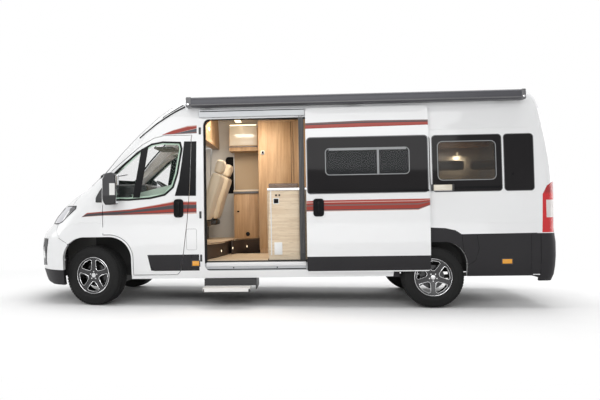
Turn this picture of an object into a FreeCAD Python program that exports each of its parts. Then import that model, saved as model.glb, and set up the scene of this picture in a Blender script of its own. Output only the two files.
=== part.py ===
import FreeCAD, Part
import math
import os
from types import SimpleNamespace

os.makedirs("parts", exist_ok=True)

# Camper van on a long panel-van body, millimetres.
# World frame: +X to the rear, -Y to the left side, +Z up, origin on the ground
# under the middle of the overall box.
# The body is drawn level, x measured back from the front axle and z up from
# its own datum, and one placement then sets it nose-down on its wheels.

doc = FreeCAD.newDocument("CamperVan")
sheet = doc.addObject("Spreadsheet::Sheet", "Sizes")

SIZES = {
    # whole vehicle
    "wheelbase": 4035,
    "front_overhang": 914,
    "rear_overhang": 1440,
    "half_width": 1025,
    "roof_height": 2524,
    "hub_datum": 350,
    "rake_angle": 0.94,
    "wall": 55,
    "skin": 20,
    "glass": 8,
    "shut_gap": 8,
    "seam": 0.8,
    "overrun": 300,
    # wheels
    "tyre_radius": 358,
    "tyre_width": 225,
    "front_track": 1810,
    "rear_track": 1790,
    "steer_rest": 15,
    "shoulder_drop": 18,
    "shoulder_inset": 9,
    "rim_radius": 221,
    "rim_width": 180,
    "rim_wall": 13,
    "spoke_plate": 22,
    "hub_radius": 68,
    "disc_radius": 140,
    "disc_plate": 24,
    "axle_radius": 20,
    "axle_play": 0.3,
    "axle_reach": 50,
    "kingpin_inset": 25,
    "pin_radius": 14,
    "pin_height": 40,
    "knuckle_gap": 7,
    # wheel arches
    "arch_forward": 401,
    "arch_back": 445,
    "arch_top": 814,
    "rear_arch_reach": 393,
    "rear_arch_top": 702,
    "rear_well_inner": 740,
    "arch_corner": 270,
    "arch_lip": 20,
    # side openings
    "sill": 302,
    "cab_door_front": 110,
    "cab_door_rear": 1192,
    "cab_door_bottom": 353,
    "cab_door_top": 2020,
    "clad_top": 551,
    "clad_bottom": 380,
    "clad_rear": 5225,
    "doorway_front": 1334,
    "doorway_rear": 2690,
    "doorway_bottom": 392,
    "doorway_top": 2212,
    "doorway_corner": 70,
    "slider_lap": 18,
    "slider_length": 1434,
    "slider_bottom": 366,
    "slider_top": 2312,
    "slider_travel": 1242,
    "slider_out": 64,
    "slider_corner": 40,
    "slider_clear": 6,
    # window band
    "band_bottom": 1285,
    "band_top": 1958,
    "band_corner": 45,
    "band_gap": 18,
    "band_rear": 5211,
    "rear_window_front": 4036,
    "rear_window_rear": 4846,
    "pane_border": 65,
    # front end
    "bonnet_lip": 975,
    "scuttle_front": 1438,
    "screen_base": 1530,
    "screen_top": 2396,
    "screen_foot_half": 868,
    "screen_head_half": 760,
    "bonnet_half": 760,
    "hinge_play": 0.3,
    "hinge_height": 70,
    "hinge_low": 860,
    "hinge_high": 1200,
    "bonnet_hinge_x": -60,
    "bonnet_hinge_z": 1440,
    "rear_hinge_low": 1060,
    "rear_hinge_high": 2090,
    "rear_hinge_back": 13,
    "rear_hinge_inset": 3,
    "swing_play": 2,
    "lamp_inner": 700,
    "bumper_bottom": 232,
    "lip_break": 575,
    "lip_rise": 128,
    "lip_top": 417,
    "grille_top": 801,
    "grille_half": 620,
    "grille_rear": 450,
    "slat": 15,
    "slat_pitch": 42,
    "slot_half": 520,
    "post_pitch": 130,
    "roof_seam": 2334,
    # rear end
    "rear_frame": 5150,
    "rear_door_half": 842,
    "rear_glass_inner": 110,
    "rear_glass_outer": 730,
    "rear_door_bottom": 800,
    "rear_door_top": 2290,
    "rear_bumper_front": 5262,
    "rear_bumper_top": 790,
    "tail_lamp_front": 5283,
    "tail_lamp_top": 1390,
    # floor
    "floor_top": 505,
    "floor_thick": 65,
    "floor_front": 470,
    "rail_bottom": 300,
    "rail_inner": 400,
    "rail_outer": 480,
    "tow_place": 5020,
    "tow_pitch": 120,
    "tow_hole_radius": 6.5,
    "tow_hole_depth": 40,
    "pad_drop": 8,
    "pad_length": 190,
    "pad_width": 70,
    "pad_seat": 5,
    "jack_pad": 90,
    "jack_front": 1000,
    "jack_rear": 3300,
    "well_inner": 585,
    "bulkhead_front": -110,
    "bulkhead_thick": 40,
    "bulkhead_top": 1340,
    # outside pieces
    "awning_front": 1154,
    "awning_rear": 5100,
    "awning_bottom": 2349,
    "awning_top": 2463,
    "awning_inner": 938,
    "awning_outer": 1078,
    "awning_corner": 38,
    "bracket_width": 90,
    "bracket_drop": 30,
    "track_out": 985,
    "track_low": 88,
    "track_reach": 1290,
    "mid_rail_low": 1298,
    "mid_rail_high": 1366,
    "mid_rail_rear": 4271,
    "mid_rail_out": 1012,
    "mid_rail_cap": 1028,
    "carriage": 110,
    "cassette": 64,
    "cassette_front": 2476,
    "cassette_outer": 945,
    "cassette_inner": 895,
    "step_front": 1325,
    "step_rear": 1951,
    "step_tread_rear": 1885,
    "step_wall": 12,
    "step_top": 213,
    "step_bottom": 165,
    "tread_thick": 36,
    "tread_play": 0.3,
    "tread_out": 1252,
    "tread_in": 960,
    "step_outer": 995,
    "step_inner": 568,
    "mirror_front": 172,
    "mirror_rear": 330,
    "mirror_bottom": 1198,
    "mirror_top": 1580,
    "mirror_outer": 1254,
    "mirror_inner": 1085,
    "mirror_arm": 60,
    "mirror_corner": 40,
    "mirror_bevel": 16,
    "rooflight_rise": 66,
    "rooflight_long": 700,
    "rooflight_wide": 500,
    "rooflight_small": 400,
    "rooflight_front": 2050,
    "rooflight_rear": 4100,
    # under the floor
    "engine_front": -560,
    "engine_length": 430,
    "engine_width": 660,
    "engine_height": 620,
    "engine_bottom": 330,
    "beam_length": 220,
    "beam_width": 1120,
    "beam_height": 90,
    "beam_bottom": 170,
    "tower_length": 150,
    "tower_width": 60,
    "arm_length": 50,
    "arm_height": 30,
    "ball_rise": 95,
    "spring_length": 1300,
    "spring_width": 70,
    "leaf": 40,
    "leaf_sag": 70,
    "leaf_drop": 58,
    "shackle_top": 565,
    "spring_place": 560,
    "axle_beam": 42,
    "tank_length": 900,
    "tank_width": 380,
    "tank_height": 140,
    "tank_front": 2300,
    "pipe_radius": 30,
    # cab
    "seat_front": 700,
    "seat_length": 520,
    "seat_width": 500,
    "seat_place": 480,
    "seat_cushion": 140,
    "seat_top": 1120,
    "seat_base": 300,
    "seat_back": 140,
    "seat_back_height": 640,
    "seat_lean": 18,
    "head_height": 190,
    "head_width": 300,
    "dash_rear": 440,
    "dash_height": 330,
    "dash_top": 1330,
    "dash_half": 900,
    "steering_x": 640,
    "steering_y": 450,
    "steering_z": 1415,
    "steering_radius": 195,
    "steering_rim": 15,
    "steering_tilt": 35,
    "column_length": 330,
    "column_radius": 32,
    # living space
    "stage_top": 700,
    "stage_reach": 2855,
    "kitchen_front": 2100,
    "kitchen_rear": 3400,
    "kitchen_top": 1358,
    "kitchen_outer": 885,
    "kitchen_depth": 480,
    "kitchen_foot": 60,
    "sink_depth": 140,
    "sink_rim": 110,
    "wardrobe_front": 1934,
    "wardrobe_rear": 2960,
    "wardrobe_inner": 200,
    "wardrobe_outer": 905,
    "wardrobe_top": 2330,
    "board_front": 1543,
    "board_rear": 1900,
    "board_inner": 620,
    "board_top": 1372,
    "locker_front": 1490,
    "locker_bottom": 1950,
    "locker_inner": 600,
    "locker_outer": 850,
    "locker_top": 2280,
    "locker_rear": 5150,
    "bed_front": 3440,
    "bed_rear": 5290,
    "bed_top": 1290,
    "bed_board": 60,
    "bed_half": 880,
    "mattress": 130,
}

for row, (alias, value) in enumerate(SIZES.items(), start=2):
    sheet.set(f"A{row}", alias)
    sheet.set(f"B{row}", str(value))
    sheet.setAlias(f"B{row}", alias)
doc.recompute()
s = SimpleNamespace(**{alias: float(sheet.get(alias)) for alias in SIZES})

whole_length = s.front_overhang + s.wheelbase + s.rear_overhang
ON_WHEELS = FreeCAD.Placement(
    FreeCAD.Vector(s.front_overhang - whole_length / 2, 0, s.tyre_radius),
    FreeCAD.Rotation(FreeCAD.Vector(0, 1, 0), -s.rake_angle),
) * FreeCAD.Placement(FreeCAD.Vector(0, 0, -s.hub_datum), FreeCAD.Rotation())
FRONT_AXLE = ON_WHEELS.multVec(FreeCAD.Vector(0, 0, s.hub_datum))
SLIVER_SHARE = 0.01
PLATE_SHARE = 0.55
HUB_SHARE = 0.8
SIDES = {"left": -1, "right": 1}
made = []


def sound(shape):
    """The solids of a cut shape, without slivers left by nearly equal faces."""
    largest = max(solid.Volume for solid in shape.Solids)
    return Part.makeCompound([solid for solid in shape.Solids if solid.Volume > largest * SLIVER_SHARE])


def keep(label, shape, placement=ON_WHEELS):
    """A finished piece whose shape is worked out from the sheet."""
    piece = doc.addObject("Part::Feature", label)
    piece.Shape = sound(shape)
    piece.Placement = placement
    made.append(piece)
    return piece


def rounded(points, radii):
    """Closed outline through corner points, each corner with its own radius."""
    corners = [FreeCAD.Vector(*point) for point in points]
    edges = []
    starts = []
    for index, corner in enumerate(corners):
        before = (corners[index - 1] - corner).normalize()
        after = (corners[(index + 1) % len(corners)] - corner).normalize()
        radius = radii[index]
        if radius == 0:
            starts.append((corner, corner, None))
            continue
        half = before.getAngle(after) / 2
        reach = radius / math.tan(half)
        middle = corner + (before + after).normalize() * (radius / math.sin(half) - radius)
        starts.append((corner + before * reach, corner + after * reach, middle))
    for index, (first, last, middle) in enumerate(starts):
        if middle is not None:
            edges.append(Part.Arc(first, middle, last).toShape())
        following = starts[(index + 1) % len(starts)][0]
        if last.distanceToPoint(following) > s.seam * SLIVER_SHARE:
            edges.append(Part.LineSegment(last, following).toShape())
    return Part.Wire(Part.__sortEdges__(edges))


def side_outline(points, radius=0):
    """Outline seen from the side, points as (x, z)."""
    radii = radius if isinstance(radius, (list, tuple)) else [radius] * len(points)
    return rounded([(x, 0, z) for x, z in points], radii)


def across(wire, low, high):
    """Solid across the vehicle, from y = low to y = high."""
    face = Part.Face(wire)
    face.translate(FreeCAD.Vector(0, low, 0))
    return face.extrude(FreeCAD.Vector(0, high - low, 0))


def leftward(wire, inner=0):
    """The outline cut through the left half, from y = -inner outwards."""
    return across(wire, -s.half_width - s.overrun, -inner)


def mirrored(shape):
    """The same shape on the right-hand side."""
    return shape.mirror(FreeCAD.Vector(0, 0, 0), FreeCAD.Vector(0, 1, 0))


def pair(shape):
    """The left shape and its mirror image."""
    return Part.makeCompound(shape.Solids + mirrored(shape).Solids)


def along(points, low, high, radius=0):
    """Solid along the vehicle: points seen from behind as (y, z)."""
    face = Part.Face(rounded([(0, y, z) for y, z in points], [radius] * len(points)))
    face.translate(FreeCAD.Vector(low, 0, 0))
    return face.extrude(FreeCAD.Vector(high - low, 0, 0))


def slab(x_low, x_high, y_low, y_high, z_low, z_high):
    """Plain cutting box between six planes."""
    corner = FreeCAD.Vector(x_low, y_low, z_low)
    return Part.makeBox(x_high - x_low, y_high - y_low, z_high - z_low, corner)


def grown(wire, gap):
    """The outline moved outwards by a gap."""
    return wire.makeOffset2D(gap, 0)


# The body as level sections. Each row: height as a share of the roof height,
# nose as a share of the front overhang, depth of the nose's curve, half width
# and corner radius as shares of the half width, tail as a share of the rear
# overhang.
section_shares = [
    (0.091, -0.915, 0.546, 0.932, 0.107, 0.969),
    (0.119, -0.951, 0.605, 0.961, 0.117, 0.986),
    (0.158, -0.983, 0.634, 0.983, 0.127, 0.995),
    (0.206, -0.998, 0.644, 0.995, 0.132, 1.000),
    (0.269, -1.000, 0.649, 1.000, 0.137, 1.000),
    (0.309, -0.985, 0.644, 1.000, 0.137, 0.991),
    (0.337, -0.963, 0.624, 1.000, 0.132, 0.983),
    (0.382, -0.837, 0.546, 1.000, 0.127, 0.983),
    (0.418, -0.779, 0.546, 0.997, 0.127, 0.984),
    (0.477, -0.639, 0.546, 0.991, 0.127, 0.987),
    (0.516, -0.497, 0.507, 0.985, 0.127, 0.988),
    (0.548, -0.335, 0.429, 0.981, 0.127, 0.987),
    (0.604, -0.149, 0.371, 0.976, 0.127, 0.983),
    (0.650, -0.013, 0.332, 0.971, 0.127, 0.976),
    (0.727, 0.192, 0.293, 0.961, 0.127, 0.958),
    (0.816, 0.442, 0.273, 0.944, 0.127, 0.931),
    (0.901, 0.709, 0.263, 0.919, 0.127, 0.899),
    (0.951, 0.911, 0.254, 0.883, 0.127, 0.868),
    (0.979, 1.023, 0.244, 0.829, 0.122, 0.837),
    (0.994, 1.127, 0.244, 0.741, 0.117, 0.795),
    (1.000, 1.236, 0.234, 0.624, 0.107, 0.733),
]
BONNET_SHARE = 0.4
nose_angle_shares = [-1, -0.85, -0.68, -0.5, -0.25, 0, 0.25, 0.5, 0.68, 0.85, 1]


def section(row, inset):
    """One level section of the body, drawn in by the inset."""
    height, nose, curve, width, corner, tail = row
    z = height * s.roof_height - inset * (height > BONNET_SHARE)
    front = nose * s.front_overhang + inset
    curve = curve * s.half_width
    half = width * s.half_width - inset
    corner = corner * s.half_width
    back = s.wheelbase + tail * s.rear_overhang - inset
    angles = [share * math.pi / 2 for share in nose_angle_shares]
    points = [
        FreeCAD.Vector(front + curve * (1 - math.cos(angle)), half * math.sin(angle), z) for angle in angles
    ]
    bow = Part.BSplineCurve()
    bow.interpolate(
        Points=points,
        Parameters=nose_angle_shares,
        InitialTangent=FreeCAD.Vector(-1, 0, 0),
        FinalTangent=FreeCAD.Vector(1, 0, 0),
    )
    edges = [bow.toShape()]
    straight = back - corner
    for sign in (1, -1):
        turn = FreeCAD.Vector(straight, sign * (half - corner), z)
        diagonal = FreeCAD.Vector(corner * math.sqrt(0.5), sign * corner * math.sqrt(0.5), 0)
        side_end = FreeCAD.Vector(straight, sign * half, z)
        side = Part.LineSegment(FreeCAD.Vector(front + curve, sign * half, z), side_end)
        bend = Part.Arc(side_end, turn + diagonal, FreeCAD.Vector(back, sign * (half - corner), z))
        edges += [side.toShape(), bend.toShape()]
    rear = Part.LineSegment(
        FreeCAD.Vector(back, half - corner, z), FreeCAD.Vector(back, corner - half, z)
    )
    ordered = [edges[0], edges[1], edges[2], rear.toShape(), edges[4], edges[3]]
    return Part.Wire(ordered)


def hull(inset):
    """The body as a solid, drawn in by the inset on every side but the open bottom."""
    return Part.makeLoft([section(row, inset) for row in section_shares], True, True)


outer = hull(0)
inside = hull(s.wall)
shell = outer.cut(inside)
layer = outer.cut(hull(s.skin))
pane = outer.cut(hull(s.glass))


# Cutting outlines shared by the panels that meet there. Paired pieces are cut
# from the left half and mirrored.
BEYOND = s.half_width + s.overrun
LENGTHS = (-s.front_overhang - s.overrun, s.wheelbase + s.rear_overhang + s.overrun)
left_only = slab(*LENGTHS, -BEYOND, 0, -s.overrun, s.roof_height + s.overrun)
left_shell = shell.common(left_only)
left_layer = layer.common(left_only)


def arch(front, rear, top, inner, growth):
    """The space of a left wheel arch, open to the ground."""
    outline = side_outline(
        [(front - growth, -s.overrun), (front - growth, top + growth), (rear + growth, top + growth),
         (rear + growth, -s.overrun)],
        [0, s.arch_corner + growth, s.arch_corner + growth, 0],
    )
    return leftward(outline, inner - growth)


def arches(growth=0):
    """Both left wheel arches."""
    front = arch(-s.arch_forward, s.arch_back, s.arch_top, s.well_inner, growth)
    low, high = s.wheelbase - s.rear_arch_reach, s.wheelbase + s.rear_arch_reach
    return front.fuse(arch(low, high, s.rear_arch_top, s.rear_well_inner, growth))


def spread(shares, x_low, x_high, z_low, z_high):
    """Outline points given as shares of their own frame."""
    return [(x_low + x * (x_high - x_low), z_low + z * (z_high - z_low)) for x, z in shares]


def window_field(front, rear, border=0):
    """A field of the dark window band on the left side."""
    low, high = s.band_bottom, s.band_top
    field = [(front + border, low + border), (rear - border, low + border), (rear - border, high - border),
             (front + border, high - border)]
    return leftward(side_outline(field, s.band_corner))


door_frame = (s.cab_door_front, s.cab_door_rear, s.cab_door_bottom, s.cab_door_top)
cab_door_shares = [
    (0, 0), (0.823, 0), (0.86, 0.028), (0.892, 0.148), (0.938, 0.373), (0.963, 0.562), (0.99, 0.958),
    (1, 1), (0.684, 1), (0.582, 0.983), (0.453, 0.939), (0.291, 0.853), (0.074, 0.739), (0, 0.688),
]
cab_glass_shares = [
    (0.014, 0.541), (0.287, 0.535), (0.536, 0.545), (0.702, 0.568), (0.799, 0.623), (0.85, 0.724),
    (0.901, 0.904), (0.88, 0.955), (0.679, 0.961), (0.55, 0.947), (0.388, 0.887), (0.125, 0.735), (0.014, 0.67),
]
cab_door_outline = side_outline(spread(cab_door_shares, *door_frame))
cab_glass_outline = side_outline(spread(cab_glass_shares, *door_frame))
cab_aperture = leftward(grown(cab_door_outline, s.shut_gap)).cut(arches(s.arch_lip))
cab_door_space = leftward(cab_door_outline).cut(arches(s.arch_lip + s.shut_gap))
doorway = leftward(side_outline([(s.doorway_front, s.doorway_bottom), (s.doorway_rear, s.doorway_bottom),
                                 (s.doorway_rear, s.doorway_top), (s.doorway_front, s.doorway_top)],
                                s.doorway_corner))
wells = arches()

# Front end: windscreen, bumper, lamps, wings, bonnet and scuttle
screen_space = along([(-s.screen_foot_half, s.screen_base), (s.screen_foot_half, s.screen_base),
                      (s.screen_head_half, s.screen_top), (-s.screen_head_half, s.screen_top)],
                     LENGTHS[0], s.cab_door_rear, s.arch_lip)
lamp_shares = [(-1.09, 1), (-0.525, 1), (-0.457, 1.027), (-0.354, 1.112), (-0.256, 1.188), (-0.256, 1.226),
               (-0.422, 1.226), (-0.658, 1.148), (-1.09, 1.11)]
lamp_outline = side_outline([(x * s.front_overhang, z * s.bonnet_lip) for x, z in lamp_shares])
lamp_space = leftward(lamp_outline, s.lamp_inner)
lamp_hole = leftward(grown(lamp_outline, s.seam), s.lamp_inner - s.seam)
lamp_room = leftward(grown(lamp_outline, s.shut_gap), s.lamp_inner - s.shut_gap)
wing_shares = [(-0.373, 0.757), (-0.499, 0.828), (-0.552, 0.994), (-0.552, 1.6), (0.114, 1.6), (0.114, 0.757)]
wing_outline = side_outline([(x * s.front_overhang, z * s.bonnet_lip) for x, z in wing_shares])
wing_space = leftward(wing_outline, s.lamp_inner)
wing_hole = leftward(grown(wing_outline, s.seam), s.lamp_inner)
bumper_rear = wing_shares[0][0] * s.front_overhang
bumper_top = s.bonnet_lip - s.shut_gap
bumper_outline = [(LENGTHS[0], s.bumper_bottom + s.lip_rise), (-s.lip_break, s.bumper_bottom),
                  (bumper_rear, s.bumper_bottom), (bumper_rear, bumper_top), (LENGTHS[0], bumper_top)]
bumper_space = leftward(side_outline(bumper_outline))
lip_space = slab(LENGTHS[0], bumper_rear, -BEYOND, 0, -s.overrun, s.lip_top)
grille_shares = [(0, 1), (-1, 1), (-1.03, 0.87), (-0.9, 0.67), (-0.87, 0.52), (0, 0.52)]
grille_outline = [(y * s.grille_half, z * s.grille_top) for y, z in grille_shares]
grille_space = along(grille_outline, LENGTHS[0], -s.grille_rear)
nose_rear = s.cab_door_front - s.shut_gap
bonnet_space = slab(LENGTHS[0], nose_rear, -s.bonnet_half, 0, s.bonnet_lip, s.scuttle_front)
bonnet_hole = slab(LENGTHS[0], nose_rear, -s.bonnet_half - s.shut_gap, 0, s.bonnet_lip - s.shut_gap,
                   s.scuttle_front + s.shut_gap)
nose_space = slab(LENGTHS[0], nose_rear, -BEYOND, 0, -s.overrun, s.scuttle_front + s.shut_gap)
scuttle_space = slab(LENGTHS[0], nose_rear, -s.bonnet_half - s.shut_gap, s.bonnet_half + s.shut_gap,
                     s.scuttle_front + s.shut_gap, s.screen_base)

# the bonnet's rear edge is cut upright, so that it lifts clear of the scuttle
behind_bonnet = Part.Face(outer.slice(FreeCAD.Vector(0, 0, 1), s.scuttle_front)).extrude(
    FreeCAD.Vector(0, 0, -s.overrun))
bonnet_leaf = slab(s.bonnet_hinge_x - s.hinge_height, s.bonnet_hinge_x, -s.bonnet_half - s.shut_gap,
                   -s.bonnet_half - s.hinge_play, s.bonnet_hinge_z - s.hinge_height, s.scuttle_front)
door_leaf = slab(nose_rear, s.cab_door_front - s.hinge_play, -BEYOND, 0, 0, s.hinge_height)
half_wing = left_shell.common(nose_space).common(wing_space).cut(bonnet_hole).cut(lamp_hole).cut(wells)
half_wing = half_wing.fuse(left_shell.common(bonnet_leaf))
for height in (s.hinge_low, s.hinge_high):
    half_wing = half_wing.fuse(left_shell.common(door_leaf.translated(FreeCAD.Vector(0, 0, height))))

keep("windscreen", pane.common(screen_space))
keep("headlamps", pair(left_shell.common(lamp_space)))
half_bumper = left_shell.common(bumper_space).cut(wing_hole).cut(lamp_hole).cut(wells)
dark_space = lip_space.fuse(grille_space)
half_grille = half_bumper.common(dark_space)
half_bumper = half_bumper.cut(dark_space)
keep("front_bumper", half_bumper.fuse(mirrored(half_bumper)).removeSplitter())

# slats and posts of the air intake are what a pattern of slots leaves
slots = []
slot_low = s.lip_top + s.slat
while slot_low < s.grille_top - s.slat_pitch:
    for post in range(math.floor(s.slot_half / s.post_pitch)):
        slot_inner = post * s.post_pitch + s.slat / 2
        slots.append(slab(LENGTHS[0], 0, slot_inner, slot_inner + s.post_pitch - s.slat,
                          slot_low, slot_low + s.slat_pitch - s.slat))
    slot_low += s.slat_pitch
half_grille = half_grille.cut([mirrored(slot) for slot in slots])
keep("front_grille", half_grille.fuse(mirrored(half_grille)).removeSplitter())
half_bonnet = left_layer.common(bonnet_space).cut(lamp_room).cut(behind_bonnet)
keep("bonnet", half_bonnet.fuse(mirrored(half_bonnet)).removeSplitter())
keep("wings", pair(half_wing.removeSplitter()))
keep("scuttle", shell.common(scuttle_space))

# Rear end
rear_doors_space = slab(s.rear_frame, LENGTHS[1], -s.rear_door_half, 0, s.rear_door_bottom, s.rear_door_top)
rear_bumper_space = slab(s.rear_bumper_front, LENGTHS[1], -BEYOND, 0, -s.overrun, s.rear_bumper_top)
tail_shares = [(0, 0), (0.07, 0.75), (0.35, 0.92), (0.75, 1), (2, 1), (2, 0)]
tail_end = s.wheelbase + s.rear_overhang
tail_frame = (s.tail_lamp_front, tail_end, s.rear_bumper_top + s.shut_gap, s.tail_lamp_top)
tail_space = leftward(side_outline(spread(tail_shares, *tail_frame)), s.rear_door_half + s.shut_gap)
half_rear_bumper = left_shell.common(rear_bumper_space)
keep("rear_bumper", half_rear_bumper.fuse(mirrored(half_rear_bumper)).removeSplitter())
keep("tail_lamps", pair(left_shell.common(tail_space)))

# Sides, roof and their windows
side_space = slab(*LENGTHS, -BEYOND, 0, s.sill, s.roof_seam)
fields = [
    (s.doorway_rear + s.band_gap, s.rear_window_front - s.band_gap),
    (s.rear_window_front, s.rear_window_rear),
    (s.rear_window_rear + s.band_gap, s.band_rear),
]
front_field = (s.doorway_front, s.doorway_rear)
left_windows = [left_layer.common(window_field(*field)) for field in fields]
front_window = left_layer.common(window_field(*front_field))
right_windows = [mirrored(window) for window in [*left_windows, front_window]]
panes = [part for window in left_windows + right_windows for part in window.Solids]
keep("habitation_windows", Part.makeCompound(panes))
# Cladding along the lower sides, let into the panels
clad_door_shares = [(0.493, 0.143), (0.53, 0.03), (0.57, 0.026), (1.072, 0.026), (1.072, 0.143)]
clad_door_space = leftward(side_outline(spread(clad_door_shares, *door_frame)))
strip_space = slab(s.doorway_rear + s.slider_lap + s.shut_gap, s.wheelbase, -BEYOND, 0, s.clad_bottom,
                   s.clad_top)
clad_arch_shares = [(-0.285, 0.372), (-0.27, 0.78), (-0.2, 1), (-0.12, 1.082), (-0.02, 1.105), (0.085, 1.092),
                    (0.155, 1.06), (0.2, 1), (0.726, 1.006), (0.7, 0.372)]
clad_length = (s.clad_rear - s.wheelbase) / clad_arch_shares[-2][0]
clad_arch_outline = [(s.wheelbase + x * clad_length, z * s.rear_bumper_top) for x, z in clad_arch_shares]
clad_arch_space = leftward(side_outline(clad_arch_outline))
slider_front = s.doorway_front - s.slider_lap
slider_rear = slider_front + s.slider_length
slider_clad_space = slab(slider_front, slider_rear, -BEYOND, 0, s.clad_bottom, s.clad_top)
clads = pane.common(clad_door_space.cut(cab_aperture).fuse([strip_space, clad_arch_space])).cut(wells)
wall_clad_space = slab(s.doorway_front, s.doorway_rear + s.slider_lap, -BEYOND, 0, s.clad_bottom, s.clad_top)
wall_clad = pane.common(wall_clad_space)
half_body = left_shell.common(side_space)
for space in (nose_space, scuttle_space, screen_space, cab_aperture, rear_doors_space, rear_bumper_space,
              tail_space, window_field(*fields[1], s.pane_border), wells, clads, *left_windows):
    half_body = half_body.cut(space)
for height in (s.rear_hinge_low, s.rear_hinge_high):
    leaf = slab(s.rear_frame, LENGTHS[1], -s.rear_door_half, s.shut_gap - s.rear_door_half - s.hinge_play,
                height, height + s.hinge_height)
    half_body = half_body.fuse(left_shell.common(leaf))
keep("body_side_left", half_body.cut(doorway))
windowed = half_body.cut(front_window).cut(window_field(*front_field, s.pane_border)).cut(wall_clad)
keep("body_side_right", mirrored(windowed))
roof_space = slab(*LENGTHS, -BEYOND, 0, s.roof_seam, s.roof_height + s.overrun)
half_roof = left_shell.common(roof_space).cut(screen_space)
keep("roof_panel", half_roof.fuse(mirrored(half_roof)).removeSplitter())

# Cab doors and their glass
glass_space = leftward(cab_glass_outline)
door_clad = pane.common(clad_door_space).common(cab_door_space)
cab_door = left_shell.common(cab_door_space).cut(glass_space).cut(door_clad)
cab_glass = pane.common(glass_space)
keep("cab_door_left", cab_door)
keep("cab_door_right", mirrored(cab_door))
keep("cab_glass_left", cab_glass)
keep("cab_glass_right", mirrored(cab_glass))
keep("door_cladding_left", door_clad)
keep("door_cladding_right", mirrored(door_clad))


def seated(shape, *carriers):
    """The shape with what carries it taken away, so that the two just touch."""
    for carrier in carriers:
        shape = shape.cut(carrier)
    return shape


# Rear doors: shut against each other at the middle, hinged at the corner pillars
rear_leaf = slab(s.rear_frame, LENGTHS[1], s.shut_gap - s.rear_door_half, -s.shut_gap / 2,
                 s.rear_door_bottom + s.shut_gap, s.rear_door_top - s.shut_gap)
rear_glass_space = along([(-s.rear_glass_outer, s.band_bottom), (-s.rear_glass_inner, s.band_bottom),
                          (-s.rear_glass_inner, s.band_top), (-s.rear_glass_outer, s.band_top)],
                         s.rear_frame, LENGTHS[1], s.band_corner)
rear_hinge_y = s.rear_hinge_inset - s.rear_door_half
rear_hinge = FreeCAD.Vector(tail_end - s.rear_hinge_back, rear_hinge_y, s.rear_door_bottom)
rear_door_height = s.rear_door_top - s.rear_door_bottom
swing_space = Part.makeCylinder(-rear_hinge_y - s.swing_play, rear_door_height, rear_hinge)
rear_door = left_shell.common(rear_leaf).common(swing_space).cut(rear_glass_space)
rear_glass = pane.common(rear_glass_space)
keep("rear_door_left", rear_door)
keep("rear_door_right", mirrored(rear_door))
keep("rear_glass_left", rear_glass)
keep("rear_glass_right", mirrored(rear_glass))

# Sliding door, standing open behind its doorway
slider_outline = [(slider_front, s.slider_bottom), (slider_rear, s.slider_bottom), (slider_rear, s.slider_top),
                  (slider_front, s.slider_top)]
slider_space = leftward(side_outline(slider_outline, s.slider_corner))
slid = FreeCAD.Vector(s.slider_travel, -s.slider_out, 0)
slider_field = (slider_front + s.band_gap / 2, slider_rear - s.band_gap / 2)
slider_window = left_layer.common(window_field(*slider_field))
slider_clad = pane.common(slider_clad_space).common(slider_space)
slider = left_shell.common(slider_space).cut(slider_window).cut(slider_clad)
slider = slider.cut(window_field(*slider_field, s.pane_border + s.pane_border))
slider.translate(slid)
slider_clad.translate(slid)
slider = slider.cut(outer.translated(FreeCAD.Vector(0, -s.slider_clear, 0)))
slider_window.translate(slid)
keep("sliding_door", slider)
keep("sliding_door_window", slider_window)
left_clads = clads.Solids + slider_clad.Solids
right_clads = mirrored(clads).Solids + mirrored(wall_clad).Solids
keep("side_cladding", Part.makeCompound(left_clads + right_clads))

# Floor with wheel boxes, bulkhead and chassis rails
floor_bottom = s.floor_top - s.floor_thick
inner_left = inside.common(left_only)
inner_right = mirrored(inner_left)
cab_box = slab(s.bulkhead_front, s.floor_front, -BEYOND, 0, floor_bottom, s.arch_top + s.arch_lip)
footwell = slab(s.bulkhead_front + s.bulkhead_thick, s.floor_front + s.overrun, s.arch_lip - s.well_inner, 0,
                s.floor_top, s.arch_top + s.overrun)
half_floor = inner_left.common(slab(s.floor_front, LENGTHS[1], -BEYOND, 0, floor_bottom, s.floor_top))
half_floor = half_floor.fuse(inner_left.common(cab_box).cut(footwell))
bulkhead_rear = s.bulkhead_front + s.bulkhead_thick
bulkhead = slab(s.bulkhead_front, bulkhead_rear, -BEYOND, 0, floor_bottom, s.bulkhead_top)
half_floor = half_floor.fuse(inner_left.common(bulkhead))
living_space = slab(s.floor_front, LENGTHS[1], -BEYOND, 0, floor_bottom, s.roof_height)
wheel_box = arches(s.arch_lip).common(living_space)
half_floor = half_floor.fuse(inner_left.common(wheel_box)).cut(wells)
rail = slab(s.engine_front, s.rear_frame, -s.rail_outer, -s.rail_inner, s.rail_bottom, floor_bottom)
rail_middle = -(s.rail_inner + s.rail_outer) / 2
half_floor = half_floor.fuse(rail)
half_pad = s.pad_width / 2
for place in (s.jack_front, s.jack_rear):
    jack_pad = slab(place - s.jack_pad / 2, place + s.jack_pad / 2, rail_middle - half_pad, rail_middle + half_pad,
                    s.rail_bottom - s.pad_drop, s.rail_bottom + s.pad_seat)
    half_floor = half_floor.fuse(jack_pad)
floor_pan = half_floor.fuse(mirrored(half_floor)).removeSplitter()
tow_middle = ON_WHEELS.multVec(FreeCAD.Vector(s.tow_place, 0, s.rail_bottom))
floor_pan.Placement = ON_WHEELS
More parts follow.
